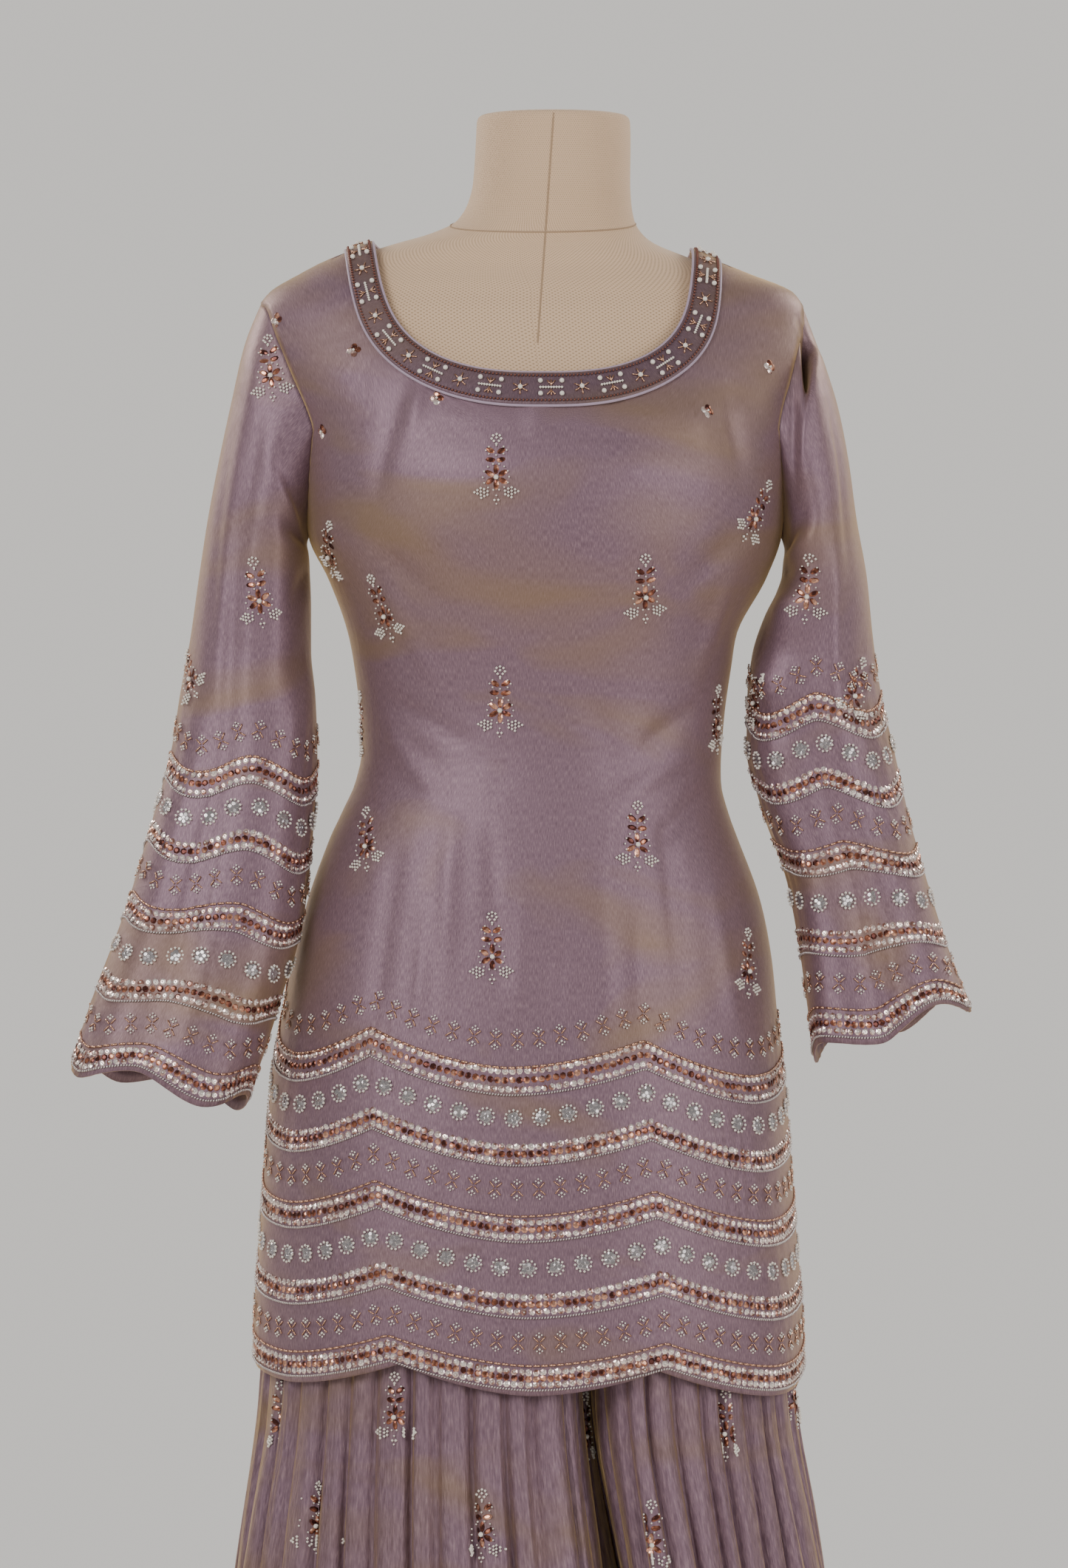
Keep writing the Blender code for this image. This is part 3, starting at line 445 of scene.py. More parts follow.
crinkled_silk = silk_material("tissue_silk_crinkled", 620, 0.55, 0.95)
legs = {}
for side_name, side in (("right", -1), ("left", 1)):
    shares, stands = pleat_columns(PLEATS[side_name])
    for name, facing in (("front", 1), ("back", -1)):
        points = leg_points(side, facing, shares, stands)
        inside = points * [0, 0, 1] + [points[..., 0].mean(), 0, 0]
        leg = cloth_mesh(f"sharara_{side_name}_{name}_leg", points, crinkled_silk, inside=inside,
                         thickness=THIN_CLOTH)
        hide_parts(f"sharara_{side_name}_{name}")
        legs[side_name, name] = {"points": points, "normals": outward_side(points, inside, False)}


# Kurta: a front and a back of shot tissue silk, each cut in one from the shoulder to the scalloped
# hem and sewn at the shoulders and sides. The folds are given one by one: name, place, depth, width.

KURTA_SECTIONS = (
    (0.600, 0.1990, -0.0180, 0.150, 0.160), (0.665, 0.1975, -0.0180, 0.147, 0.158),
    (0.707, 0.1945, -0.0184, 0.144, 0.156), (0.771, 0.1900, -0.0186, 0.139, 0.153),
    (0.835, 0.1850, -0.0188, 0.133, 0.150), (0.877, 0.1790, -0.0176, 0.129, 0.147),
    (0.919, 0.1730, -0.0158, 0.124, 0.141), (0.962, 0.1632, -0.0146, 0.119, 0.131),
    (1.004, 0.1480, -0.0148, 0.112, 0.118), (1.025, 0.1395, -0.0138, 0.108, 0.110),
    (1.047, 0.1320, -0.0115, 0.104, 0.103), (1.068, 0.1298, -0.0092, 0.102, 0.099),
    (1.090, 0.1310, -0.0086, 0.102, 0.096), (1.131, 0.1362, -0.0082, 0.108, 0.095),
    (1.153, 0.1400, -0.0085, 0.114, 0.096), (1.195, 0.1585, -0.0050, 0.126, 0.100),
    (1.225, 0.1710, -0.0066, 0.133, 0.103), (1.260, 0.1750, -0.0060, 0.135, 0.106),
    (1.300, 0.1800, -0.0060, 0.125, 0.107), (1.330, 0.1890, -0.0110, 0.110, 0.106),
    (1.360, 0.1975, -0.0150, 0.0925, 0.103), (1.385, 0.1990, -0.0170, 0.078, 0.095),
    (1.400, 0.1910, -0.0165, 0.070, 0.088), (1.415, 0.1620, -0.0215, 0.062, 0.080),
    (1.424, 0.1420, -0.0240, 0.057, 0.074), (1.432, 0.1210, -0.0245, 0.054, 0.070),
    (1.4385, 0.1010, -0.0220, 0.052, 0.067), (1.4460, 0.0790, -0.0130, 0.051, 0.064),
    (1.4600, 0.0500, -0.0050, 0.040, 0.050),
)
UNDERARM, CHEST = 1.225, 1.300
ARMHOLE_Y, ARMHOLE_ROUND = 0.052, 0.6
SHOULDER_TIP = 0.196
# Cells of half a panel: to the scallop's point, to the neck's side, to the shoulder tip
CELLS = (0, 4, 9, 13)
CELL_SHARES = (0, 1 / 3, 0.64, 1)
FINE = 5
HEM_LOW, CENTRE_RISE, SIDE_RISE, HEM_TILT = 0.6145, 0.019, 0.021, 0.0075
SCALLOP_SHARE, SCALLOP_POWER = 1 / 3, 1.7
SCALLOP_FADES_AT = 0.79
ROW_STEP = 0.006
ARCH_ROWS, BAND_ROWS = 26, 4
NECK_HALF_WIDTH, NECK_SHIFT, NECK_LEAN = 0.1150, -0.0165, 0.010
NECK_POWER, NECK_RADIUS = 2.7, 0.135
NECK_DROP = {"front": 0.790, "back": 0.44}
BAND_WIDTH = 0.0195
BAND_END_TURN = 0.012
SHOULDER_ROW_TURN = 0.16
RIDGE_TURN = QUARTER - 0.003
ARCH_DRAW_IN = 1.3
FORM_SEAT_GAP = 0.0012
FLUTES = ((-0.84, 0.0045, 0.13), (-0.42, 0.0020, 0.20), (0.36, 0.0020, 0.20), (0.70, 0.0045, 0.11))
FLUTES_FROM, FLUTES_FULL = 1.00, 0.70
# Folds of the front as it is seen: x and height at one end, x and height at the other, depth, width
FRONT_FOLDS = (
    (-0.128, 1.215, -0.070, 1.165, -0.0030, 0.009), (-0.122, 1.190, -0.085, 1.120, 0.0022, 0.008),
    (-0.118, 1.105, -0.060, 1.075, -0.0026, 0.008), (-0.120, 1.085, -0.085, 1.035, 0.0022, 0.007),
    (-0.125, 1.050, -0.050, 1.020, -0.0022, 0.009), (0.112, 1.110, 0.060, 1.070, -0.0028, 0.009),
    (0.115, 1.080, 0.040, 1.030, 0.0020, 0.008), (0.118, 1.050, 0.070, 1.000, -0.0024, 0.008),
    (0.140, 1.230, 0.085, 1.180, -0.0028, 0.010), (0.130, 1.200, 0.100, 1.120, 0.0020, 0.008),
    (-0.110, 1.330, -0.128, 1.250, -0.0030, 0.010), (-0.090, 1.345, -0.104, 1.290, 0.0018, 0.008),
    (0.118, 1.340, 0.134, 1.262, -0.0026, 0.010), (0.095, 1.350, 0.106, 1.290, 0.0016, 0.008),
    (-0.072, 1.030, -0.080, 0.880, 0.0018, 0.009), (-0.046, 1.010, -0.040, 0.900, -0.0016, 0.008),
    (0.030, 1.000, 0.038, 0.880, 0.0016, 0.010), (0.078, 1.020, 0.092, 0.880, -0.0020, 0.010),
    (0.110, 0.990, 0.130, 0.870, 0.0018, 0.009), (-0.112, 1.000, -0.128, 0.880, -0.0020, 0.010),
    (-0.010, 1.345, -0.014, 1.290, 0.0012, 0.010), (0.040, 1.340, 0.044, 1.285, -0.0010, 0.010),
    (-0.050, 1.130, -0.010, 1.050, 0.0010, 0.014), (0.020, 1.120, 0.050, 1.040, -0.0010, 0.014),
    (-0.090, 0.960, -0.098, 0.870, 0.0014, 0.007), (0.058, 0.960, 0.060, 0.865, 0.0012, 0.007),
    (0.004, 0.940, 0.000, 0.860, -0.0012, 0.008), (-0.020, 0.980, -0.026, 0.880, 0.0010, 0.009),
)
BACK_FOLDS = (
    (-0.110, 1.100, -0.020, 1.080, -0.0030, 0.009), (-0.115, 1.070, -0.030, 1.045, 0.0022, 0.009),
    (0.108, 1.095, 0.030, 1.075, -0.0028, 0.009), (0.112, 1.060, 0.010, 1.030, 0.0022, 0.009),
    (-0.120, 1.220, -0.090, 1.130, -0.0024, 0.010), (0.120, 1.230, 0.094, 1.140, -0.0024, 0.010),
    (-0.070, 1.000, -0.078, 0.880, 0.0018, 0.010), (0.020, 0.990, 0.028, 0.880, -0.0018, 0.010),
    (0.090, 1.000, 0.104, 0.880, 0.0016, 0.010), (-0.020, 1.300, -0.024, 1.200, 0.0012, 0.012),
    (0.060, 1.330, 0.066, 1.240, -0.0014, 0.010), (-0.100, 1.350, -0.108, 1.270, -0.0020, 0.010),
)


FOLD_GAIN, FOLD_CRISP = 1.35, 1.35


def hem_rise(share):
    """How far the hem is above its lowest line, at a share of the half width."""
    share = np.abs(share)
    centre = CENTRE_RISE * np.minimum(share / SCALLOP_SHARE, 1) ** SCALLOP_POWER
    middle = (1 + SCALLOP_SHARE) / 2
    off_middle = (share - middle) / (1 - middle)
    high = np.where(off_middle < 0, CENTRE_RISE, SIDE_RISE)
    side = high * np.minimum(np.abs(off_middle), 1) ** SCALLOP_POWER
    return np.where(share < SCALLOP_SHARE, centre, side)


def side_line(height, facing, edge_y):
    """The dense half section of a panel at one height, from the -X edge to the +X edge."""
    angles = np.linspace(-QUARTER, QUARTER, 181)
    angles = angles if facing > 0 else math.pi - angles
    x, y = ring_point(steady(KURTA_SECTIONS, height), angles)
    keep = np.abs(y) >= edge_y - 1e-9
    return np.stack([x[keep], y[keep]], axis=1)


def armhole_depth(height):
    share = np.clip((height - UNDERARM) / (CHEST - UNDERARM), 0, 1)
    return ARMHOLE_Y * share**ARMHOLE_ROUND


def section_row(height, facing, shares):
    """Points of a panel at one height, at the given shares of its half width, with its flutes."""
    points = along_line(side_line(height, facing, armhole_depth(height)), (shares + 1) / 2)
    tangent = np.gradient(points, axis=0)
    normal = np.stack([tangent[:, 1], -tangent[:, 0]], axis=1) * facing
    normal /= np.linalg.norm(normal, axis=1)[:, None]
    waves = sum(d * np.exp(-(((shares - at) / width) ** 2)) for at, d, width in FLUTES)
    waves = waves * (1 - ease(FLUTES_FULL, FLUTES_FROM, height)) * (1 - np.abs(shares) ** 8)
    return points + normal * waves[:, None]


def reach(sections, x, turn, facing, extra=0.0):
    """How far a ray from the chest line at x goes before it leaves the body, at a turn up from level."""
    low, high = np.zeros_like(x), np.full_like(x, 0.3)
    for _ in range(40):
        mid = (low + high) / 2
        height = CHEST + mid * np.sin(turn)
        half, shift, front, back = np.moveaxis(steady(sections, height), -1, 0)
        depth = front if facing > 0 else back
        inside = (np.abs(x - shift) / half) ** SQUARENESS + (
            mid * np.cos(turn) / depth) ** SQUARENESS < 1
        inside &= height <= sections[-1][0]
        low, high = np.where(inside, mid, low), np.where(inside, high, mid)
    return low + extra


def arch_point(x, turn, facing):
    """A point of the kurta above the chest line, at x and a turn up towards the shoulder."""
    x, turn = np.broadcast_arrays(np.asarray(x, float), np.asarray(turn, float))
    cloth = reach(KURTA_SECTIONS, x, turn, facing)
    form = reach(FORM_SECTIONS, x, turn, facing, FORM_SEAT_GAP + CLOTH)
    r = np.maximum(cloth, form)
    return np.stack([x, -facing * r * np.cos(turn), CHEST + r * np.sin(turn)], axis=-1)


def neckline(name, shares, outwards=0.0):
    """x and turn along half of a neckline, from its middle (0) to the shoulder ridge (1)."""
    steep = np.linspace(0, QUARTER, 121)
    drop = NECK_DROP[name] + outwards / NECK_RADIUS
    x = (NECK_HALF_WIDTH + outwards) * np.sin(steep) ** (2 / NECK_POWER)
    turn = QUARTER * (1 - drop * np.cos(steep) ** (2 / NECK_POWER))
    even = np.linspace(0, 1, 121)
    line = along_line(np.column_stack([x, turn * NECK_RADIUS]), even)
    return np.interp(shares, even, line[:, 0]), np.interp(shares, even, line[:, 1]) / NECK_RADIUS


def mirrored(half_x, half_turn):
    """Both halves of a line that runs from the middle of a panel to a shoulder."""
    turn = np.concatenate([half_turn[:0:-1], half_turn])
    x = np.concatenate([-half_x[:0:-1], half_x])
    return x + NECK_SHIFT + NECK_LEAN * (1 - turn / QUARTER), turn


def edge_lines(name, cells):
    """x and turn of a panel's neck-and-shoulder edge and of the neck band's lower edge."""
    neck_x, neck_turn = neckline(name, np.minimum(cells / CELLS[2], 1))
    out = np.clip((cells - CELLS[2]) / (CELLS[3] - CELLS[2]), 0, 1)
    shoulder = cells > CELLS[2]
    top_x = np.where(shoulder, mix(NECK_HALF_WIDTH, SHOULDER_TIP, out), neck_x)
    top_turn = np.where(shoulder, RIDGE_TURN, np.minimum(neck_turn, RIDGE_TURN))
    band_x, band_turn = neckline(name, np.minimum(cells / CELLS[2], 1), BAND_WIDTH)
    first = NECK_HALF_WIDTH + BAND_WIDTH
    band_x = np.where(shoulder, mix(first, SHOULDER_TIP, out), band_x)
    lower = mix(RIDGE_TURN - BAND_END_TURN, RIDGE_TURN - SHOULDER_ROW_TURN, np.minimum(out * 4, 1))
    band_turn = np.where(shoulder, lower, np.minimum(band_turn, RIDGE_TURN - BAND_END_TURN))
    return mirrored(top_x, top_turn), mirrored(band_x, band_turn)


def panel_points(name, cells, heights, arch_steps, band_steps):
    """A grid of points of the front or the back, from the hem to the neckline and shoulders."""
    facing = 1 if name == "front" else -1
    half = np.interp(cells, CELLS, CELL_SHARES)
    shares = np.concatenate([-half[:0:-1], half])
    rows = []
    sections = {}
    for height in heights:
        fade = 1 - ease(HEM_LOW, SCALLOP_FADES_AT, height)
        at = height + (hem_rise(shares) - HEM_TILT * shares) * fade
        row = []
        for i, level in enumerate(at):
            key = round(float(level) * 4000)
            if key not in sections:
                sections[key] = section_row(key / 4000, facing, shares)
            row.append((*sections[key][i], level))
        rows.append(row)
    chest = np.array(rows[-1])
    (top_x, top_turn), (band_x, band_turn) = edge_lines(name, cells)
    for step in arch_steps:
        x = mix(chest[:, 0], band_x, step**ARCH_DRAW_IN)
        rows.append(arch_point(x, band_turn * step, facing))
    for step in band_steps:
        rows.append(arch_point(mix(band_x, top_x, step), mix(band_turn, top_turn, step), facing))
    return np.array(rows), shares


def folded(points, normals, folds):
    """Soft folds laid over a grid: each runs between two places, as seen from the front."""
    depth = np.zeros(points.shape[:2])
    for x0, z0, x1, z1, amount, width in folds:
        start, line = np.array([x0, z0]), np.array([x1 - x0, z1 - z0])
        off = points[..., [0, 2]] - start
        share = (off @ line) / (line @ line)
        nearest = np.clip(share, 0, 1)
        away = np.linalg.norm(off - nearest[..., None] * line, axis=-1)
        swing = 0.75 + 0.25 * np.sin(nearest * 5 + x0 * 90)
        crisp = np.exp(-((away / width * FOLD_CRISP) ** 2))
        depth += FOLD_GAIN * amount * swing * np.sin(np.pi * np.clip(share, 0.02, 0.98)) ** 0.6 * crisp
    return points + normals * depth[..., None]


def crinkled(points, normals, across, amount):
    """Fine upright crinkles, uneven in width and depth, by the cloth's own places across it."""
    z = points[..., 2]
    waves = (np.sin(across * 820 + 2.0 * np.sin(z * 21 + 1.0) + 3 * np.sin(across * 37))
             + 0.7 * np.sin(across * 1290 + 3.1 * np.sin(z * 17 + across * 9)))
    calm = 0.5 + 0.5 * np.sin(across * 61 + z * 23)
    return points + normals * (amount * waves * calm)[..., None]


silk = silk_material("tissue_silk_smooth", 1500, 0.12)
cells = np.linspace(0, CELLS[3], CELLS[3] * FINE + 1)
heights = np.linspace(HEM_LOW, CHEST, round((CHEST - HEM_LOW) / ROW_STEP) + 1)
arch_steps = np.linspace(0, 1, ARCH_ROWS + 1)[1:]
band_steps = np.linspace(0, 1, BAND_ROWS + 1)[1:]
cloths = {}
for name, folds in (("front", FRONT_FOLDS), ("back", BACK_FOLDS)):
    points, shares = panel_points(name, cells, heights, arch_steps, band_steps)
    normals = outward_side(points, axis_inside(points), False)
    points = folded(points, normals, folds)
    across = shares * 0.25
    border = 1 - ease(0.84, 0.90, points[..., 2])
    points = crinkled(points, normals, across, 0.00035 * border + 0.00008)
    panel = cloth_mesh(f"kurta_{name}_panel", points, silk, thickness=CLOTH, across=across)
    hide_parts(f"kurta_{name}")
    cloths[name] = {"points": points, "normals": outward_side(points, axis_inside(points), False),
                    "level": points[..., 2], "across": shares, "closed": False}


# Sleeves: two long flared tubes of the same silk, cut in one piece each, sewn into the armholes and
# ending in a scalloped cuff. They hang unlike each other, with folds at the elbow and armpit.

# outer x, outer height, inner x, inner height, half depth, how far behind the body's middle
RIGHT_SLEEVE = (
    (-0.2237, 1.3646, -0.1800, 1.2195, 0.0600, 0.004), (-0.2337, 1.3222, -0.1790, 1.2130, 0.0620, 0.004),
    (-0.2427, 1.2798, -0.1783, 1.2060, 0.0620, 0.003), (-0.2507, 1.2374, -0.1778, 1.1950, 0.0600, 0.002),
    (-0.2571, 1.1950, -0.1770, 1.1738, 0.0580, 0.000), (-0.2629, 1.1526, -0.1768, 1.1420, 0.0550, -0.003),
    (-0.2703, 1.1102, -0.1733, 1.1060, 0.0520, -0.009), (-0.2765, 1.0678, -0.1718, 1.0620, 0.0500, -0.016),
    (-0.2878, 1.0254, -0.1745, 1.0160, 0.0470, -0.026), (-0.3058, 0.9618, -0.1815, 0.9480, 0.0440, -0.045),
    (-0.3240, 0.9090, -0.1975, 0.8890, 0.0430, -0.063), (-0.3434, 0.8520, -0.2184, 0.8236, 0.0420, -0.078),
)
LEFT_SLEEVE = (
    (0.1900, 1.3640, 0.1680, 1.2150, 0.0600, 0.004), (0.2045, 1.3222, 0.1670, 1.2060, 0.0620, 0.004),
    (0.2131, 1.2798, 0.1660, 1.1960, 0.0620, 0.003), (0.2189, 1.2374, 0.1620, 1.1840, 0.0600, 0.002),
    (0.2263, 1.1950, 0.1530, 1.1660, 0.0580, 0.001), (0.2305, 1.1526, 0.1440, 1.1380, 0.0550, 0.000),
    (0.2364, 1.1102, 0.1405, 1.1060, 0.0520, -0.003), (0.2450, 1.0720, 0.1400, 1.0700, 0.0490, -0.006),
    (0.2545, 1.0300, 0.1490, 1.0340, 0.0470, -0.010), (0.2700, 0.9760, 0.1700, 0.9760, 0.0440, -0.020),
    (0.2840, 0.9300, 0.1790, 0.9170, 0.0420, -0.030), (0.2955, 0.8950, 0.1840, 0.8575, 0.0410, -0.040),
)
# Folds down the whole sleeve: turn from the outer edge, depth at the top and at the cuff, width
RIGHT_FLUTES = ((1.25, -0.004, -0.007, 0.30), (2.15, 0.003, 0.004, 0.35), (4.30, -0.003, -0.006, 0.4))
LEFT_FLUTES = ((2.35, 0.003, 0.004, 0.30), (1.65, 0.003, -0.010, 0.26), (4.70, -0.003, -0.006, 0.4))
# Short creases: turn and row at one end, turn and row at the other, depth, width
RIGHT_CREASES = (
    (2.9, 1.2, 1.9, 3.0, -0.003, 0.16), (2.6, 0.8, 1.6, 1.9, 0.0022, 0.14), (3.0, 3.6, 2.2, 5.2, -0.0022, 0.15),
    (2.8, 6.2, 1.8, 6.8, -0.0024, 0.14), (2.9, 7.0, 2.1, 7.7, 0.002, 0.13), (0.6, 2.0, 0.9, 6.0, -0.0016, 0.12),
    (1.0, 4.5, 1.2, 8.5, 0.0018, 0.12), (1.7, 3.0, 1.8, 7.0, -0.0014, 0.13), (0.3, 6.5, 1.0, 7.2, -0.002, 0.14),
    (3.6, 1.5, 4.4, 3.2, -0.0026, 0.18), (4.0, 5.0, 5.0, 6.4, -0.0024, 0.18), (5.2, 2.0, 5.4, 7.0, 0.0018, 0.15),
)
LEFT_CREASES = (
    (2.9, 1.0, 1.8, 2.8, -0.0032, 0.15), (2.7, 1.8, 1.5, 3.8, 0.0024, 0.14), (2.9, 2.8, 1.9, 4.6, -0.0028, 0.14),
    (2.8, 5.6, 1.6, 6.3, -0.0032, 0.13), (2.9, 6.3, 1.9, 7.1, 0.0026, 0.12), (2.8, 7.0, 1.7, 7.6, -0.0028, 0.12),
    (2.7, 4.6, 1.7, 5.2, 0.0022, 0.13), (0.7, 1.5, 0.9, 5.0, -0.0018, 0.12), (1.2, 4.0, 1.3, 8.0, 0.002, 0.12),
    (0.4, 6.2, 1.1, 6.9, -0.002, 0.13), (3.6, 1.5, 4.4, 3.2, -0.0026, 0.18), (4.2, 5.4, 5.2, 6.6, -0.0026, 0.18),
)
PANEL_HEIGHTS = (HEM_LOW, 0.67, 0.77, 0.87, 0.945, 1.005, 1.045, 1.09, 1.14, 1.185, UNDERARM, 1.262, CHEST)
ARCH_STEPS = (0.24, 0.47, 0.68, 0.86, 1.0)
SLEEVE_CORNERS, SLEEVE_FINE = 24, 4
SLEEVE_ROWS = 112
CUFF_SCALLOPS, CUFF_RISE, CUFF_FADE = 4, 0.014, 0.175
CUFF_CUSPS = {-1: 2.06, 1: 1.75}
CUSP_DRIFT = {-1: 1.45, 1: 0.78}
CUFF_CRINKLE, SLEEVE_CRINKLE = 0.00040, 0.00012


def split_longest(points, count):
    """The points with the longest stretches between them halved until there are count points."""
    points = list(points)
    while len(points) < count:
        longest = int(np.argmax(np.linalg.norm(np.diff(points, axis=0), axis=1)))
        points.insert(longest + 1, (points[longest] + points[longest + 1]) / 2)
    return np.array(points)


def armhole(side):
    """The closed edge of an armhole, from the shoulder tip down the front and up the back."""
    column = 0 if side < 0 else -1
    half = SLEEVE_CORNERS // 2
    lines = []
    for name in ("front", "back"):
        coarse, _ = panel_points(name, np.arange(CELLS[3] + 1.0), PANEL_HEIGHTS, ARCH_STEPS, (1.0,))
        coarse = coarse[PANEL_HEIGHTS.index(UNDERARM):, column]
        first = int(np.argmin(np.abs(heights - UNDERARM)))
        fine = cloths[name]["points"][first:, column]
        if name == "front":
            coarse, fine = coarse[::-1], fine[::-1]
        coarse = split_longest(coarse, half + 1)
        along = np.concatenate([[0], np.cumsum(np.linalg.norm(np.diff(coarse, axis=0), axis=1))])
        steps = np.linspace(0, half, half * SLEEVE_FINE + 1)
        places = np.interp(steps, np.arange(half + 1), along / along[-1])
        lines.append(along_line(fine, places))
    front, back = lines
    loop = np.concatenate([front[:-1], back[:-1]])
    loop[0] = (front[0] + back[-1]) / 2
    loop[len(front) - 1] = (front[-1] + back[0]) / 2
    loop[:, 0] -= side * 0.0006
    return loop


def scallop_rise(turns, cusp):
    """How much of a cuff scallop's rise there is at each turn: 1 at its points, 0 between them."""
    return 1 - np.abs(np.sin((turns - cusp) * CUFF_SCALLOPS / 2)) ** SCALLOP_POWER


def sleeve_cloth(side, table, flutes, creases):
    """A sleeve as a grid of points from the cuff up, with each point's height above the cuff."""
    turns = np.arange(SLEEVE_CORNERS * SLEEVE_FINE) * math.tau / (SLEEVE_CORNERS * SLEEVE_FINE)
    rows = [armhole(side)]
    for i, (outer_x, outer_z, inner_x, inner_z, depth, behind) in enumerate(table):
        down = i / (len(table) - 1)
        outer, inner = np.array([outer_x, outer_z]), np.array([inner_x, inner_z])
        wave = np.ones_like(turns)
        for at, first, last, width in flutes:
            away = (turns - at + math.pi) % math.tau - math.pi
            wave += mix(first, last, down) * np.exp(-((away / width) ** 2)) / depth
        xz = (outer + inner) / 2 + np.outer(np.cos(turns) * wave, (outer - inner) / 2)
        rows.append(np.column_stack([xz[:, 0], behind - depth * np.sin(turns) * wave, xz[:, 1]]))
    rows = np.array(rows)
    at = np.linspace(0, len(table), SLEEVE_ROWS)
    flat = np.column_stack([np.arange(len(rows)), rows.reshape(len(rows), -1)])
    points = steady(flat, at).reshape(SLEEVE_ROWS, -1, 3)
    middles = points.mean(axis=1)
    gaps = np.linalg.norm(np.diff(middles, axis=0), axis=1)
    above = np.concatenate([np.cumsum(gaps[::-1])[::-1], [0]])
    ends = steady([(i + 1, *row) for i, row in enumerate(table)], np.maximum(at, 1))
    half = (ends[:, :2] - ends[:, 2:4]) / 2
    along = np.column_stack([half[:, 1], -half[:, 0]]) * -side / np.linalg.norm(half, axis=1)[:, None]
    fade = np.clip(1 - above / CUFF_FADE, 0, 1)
    rise = CUFF_RISE * np.outer(fade, scallop_rise(turns, CUFF_CUSPS[side]))
    points[..., 0] -= rise * along[:, :1]
    points[..., 2] -= rise * along[:, 1:]
    inside = np.broadcast_to(middles[:, None], points.shape)
    normals = outward_side(points, inside, True)
    depth = np.zeros(points.shape[:2])
    for turn0, row0, turn1, row1, amount, width in creases:
        line = np.array([turn1 - turn0, (row1 - row0) * 0.3])
        off_turn = (turns - turn0 + math.pi) % math.tau - math.pi
        off = np.stack(np.broadcast_arrays(off_turn[None, :], (at[:, None] - row0) * 0.3), axis=-1)
        share = (off @ line) / (line @ line)
        away = np.linalg.norm(off - np.clip(share, 0, 1)[..., None] * line, axis=-1)
        depth += amount * np.sin(np.pi * np.clip(share, 0.04, 0.96)) ** 0.6 * np.exp(-((away / width) ** 2))
    depth *= ease(0.4, 1.7, at)[:, None]
    points = points + normals * depth[..., None]
    across = turns * 0.055
    border = ease(0.30, 0.23, above)
    amount = (CUFF_CRINKLE * border + SLEEVE_CRINKLE)[:, None] * ease(0, 0.3, at)[:, None]
    points = crinkled(points, normals, across, amount)
    level = above[:, None] + rise
    return points[::-1], inside[::-1], level[::-1], across, turns


for name, side, table, flutes, creases in (
    ("right", -1, RIGHT_SLEEVE, RIGHT_FLUTES, RIGHT_CREASES),
    ("left", 1, LEFT_SLEEVE, LEFT_FLUTES, LEFT_CREASES),
):
    points, inside, level, across, turns = sleeve_cloth(side, table, flutes, creases)
    sleeve = cloth_mesh(f"sleeve_{name}_tube", points, silk, closed=True, inside=inside,
                        thickness=CLOTH, across=across)
    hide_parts(f"sleeve_{name}")
    cloths[name] = {"points": points, "normals": outward_side(points, inside, True), "level": level,
                    "across": turns, "closed": True}


# Neck band: a strip of darker silk stitched round the neckline in a front and a back half, with a
# thin cord of silk let in along its lower edge and a rolled edge at the neck.

BAND_LIFT = CLOTH / 2 + 0.0013 + 0.0005
band_silk = silk_material("band_silk", 1900, 0.2, 0.7)
band_cells = np.linspace(0, CELLS[2], CELLS[2] * 8 + 1)
band_rows = np.linspace(0, 1, 9)
bands = {}
for name in ("front", "back"):
    facing = 1 if name == "front" else -1
    (top_x, top_turn), (low_x, low_turn) = edge_lines(name, band_cells)
    rows = [arch_point(mix(low_x, top_x, s), mix(low_turn, top_turn, s), facing) for s in band_rows]
    points = np.array(rows)
    centre = np.broadcast_to(np.array([0, 0, CHEST]), points.shape)
    normals = outward_side(points, centre, False)
    points = points + normals * BAND_LIFT
    strip = cloth_mesh(f"neck_band_{name}_strip", points, band_silk, inside=centre, thickness=THIN_CLOTH)
    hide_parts(f"neck_band_{name}")
    bands[name] = (points, normals)


# Borders: five bands of sequins, bugle beads, beaded flowers and crosses follow the scallops of the hem
# and of the cuffs, with twisted cord between them. Each kind is modelled once and then copied.

CORDS = (0.0041, 0.0546, 0.1077, 0.1613, 0.2105)
SEQUIN_BANDS = ((0.0077, 0.0121, 0.0165), (0.0587, 0.0639, 0.0691), (0.1113, 0.1165, 0.1216),
                (0.1643, 0.1692, 0.1741), (0.2143, 0.2208, 0.2272))
BUGLE_LINES = (0.0212, 0.1257, 0.2298)
CROSS_LINES = (0.0371, 0.1443, 0.2494)
FLOWER_LINES = (0.0892, 0.1942)
BORDER_TOP = 0.25
# The border at the hem and at its top: a scallop's point, its middle, its rise and its tilt
SCALLOP_POINT, SCALLOP_MIDDLE = (0.353, 0.400), (0.0, -0.075)
SCALLOP_SCALE, SCALLOP_TILT = (0.9, 1.25), (0.0075, 0.0117)
ON_CLOTH = CLOTH / 2
SEQUIN_DEPTH, SEQUIN_MIDDLE = 0.0007, 0.0004


def taken():
    """The points and triangles of the active object, which is then removed."""
    bpy.ops.object.transform_apply(location=True, rotation=True, scale=True)
    bpy.ops.object.mode_set(mode="EDIT")
    bpy.ops.mesh.select_all(action="SELECT")
    bpy.ops.mesh.quads_convert_to_tris()
    bpy.ops.object.mode_set(mode="OBJECT")
    shape = bpy.context.object
    points = np.array([corner.co for corner in shape.data.vertices])
    faces = np.array([face.vertices for face in shape.data.polygons])
    bpy.data.objects.remove(shape)
    return points, faces


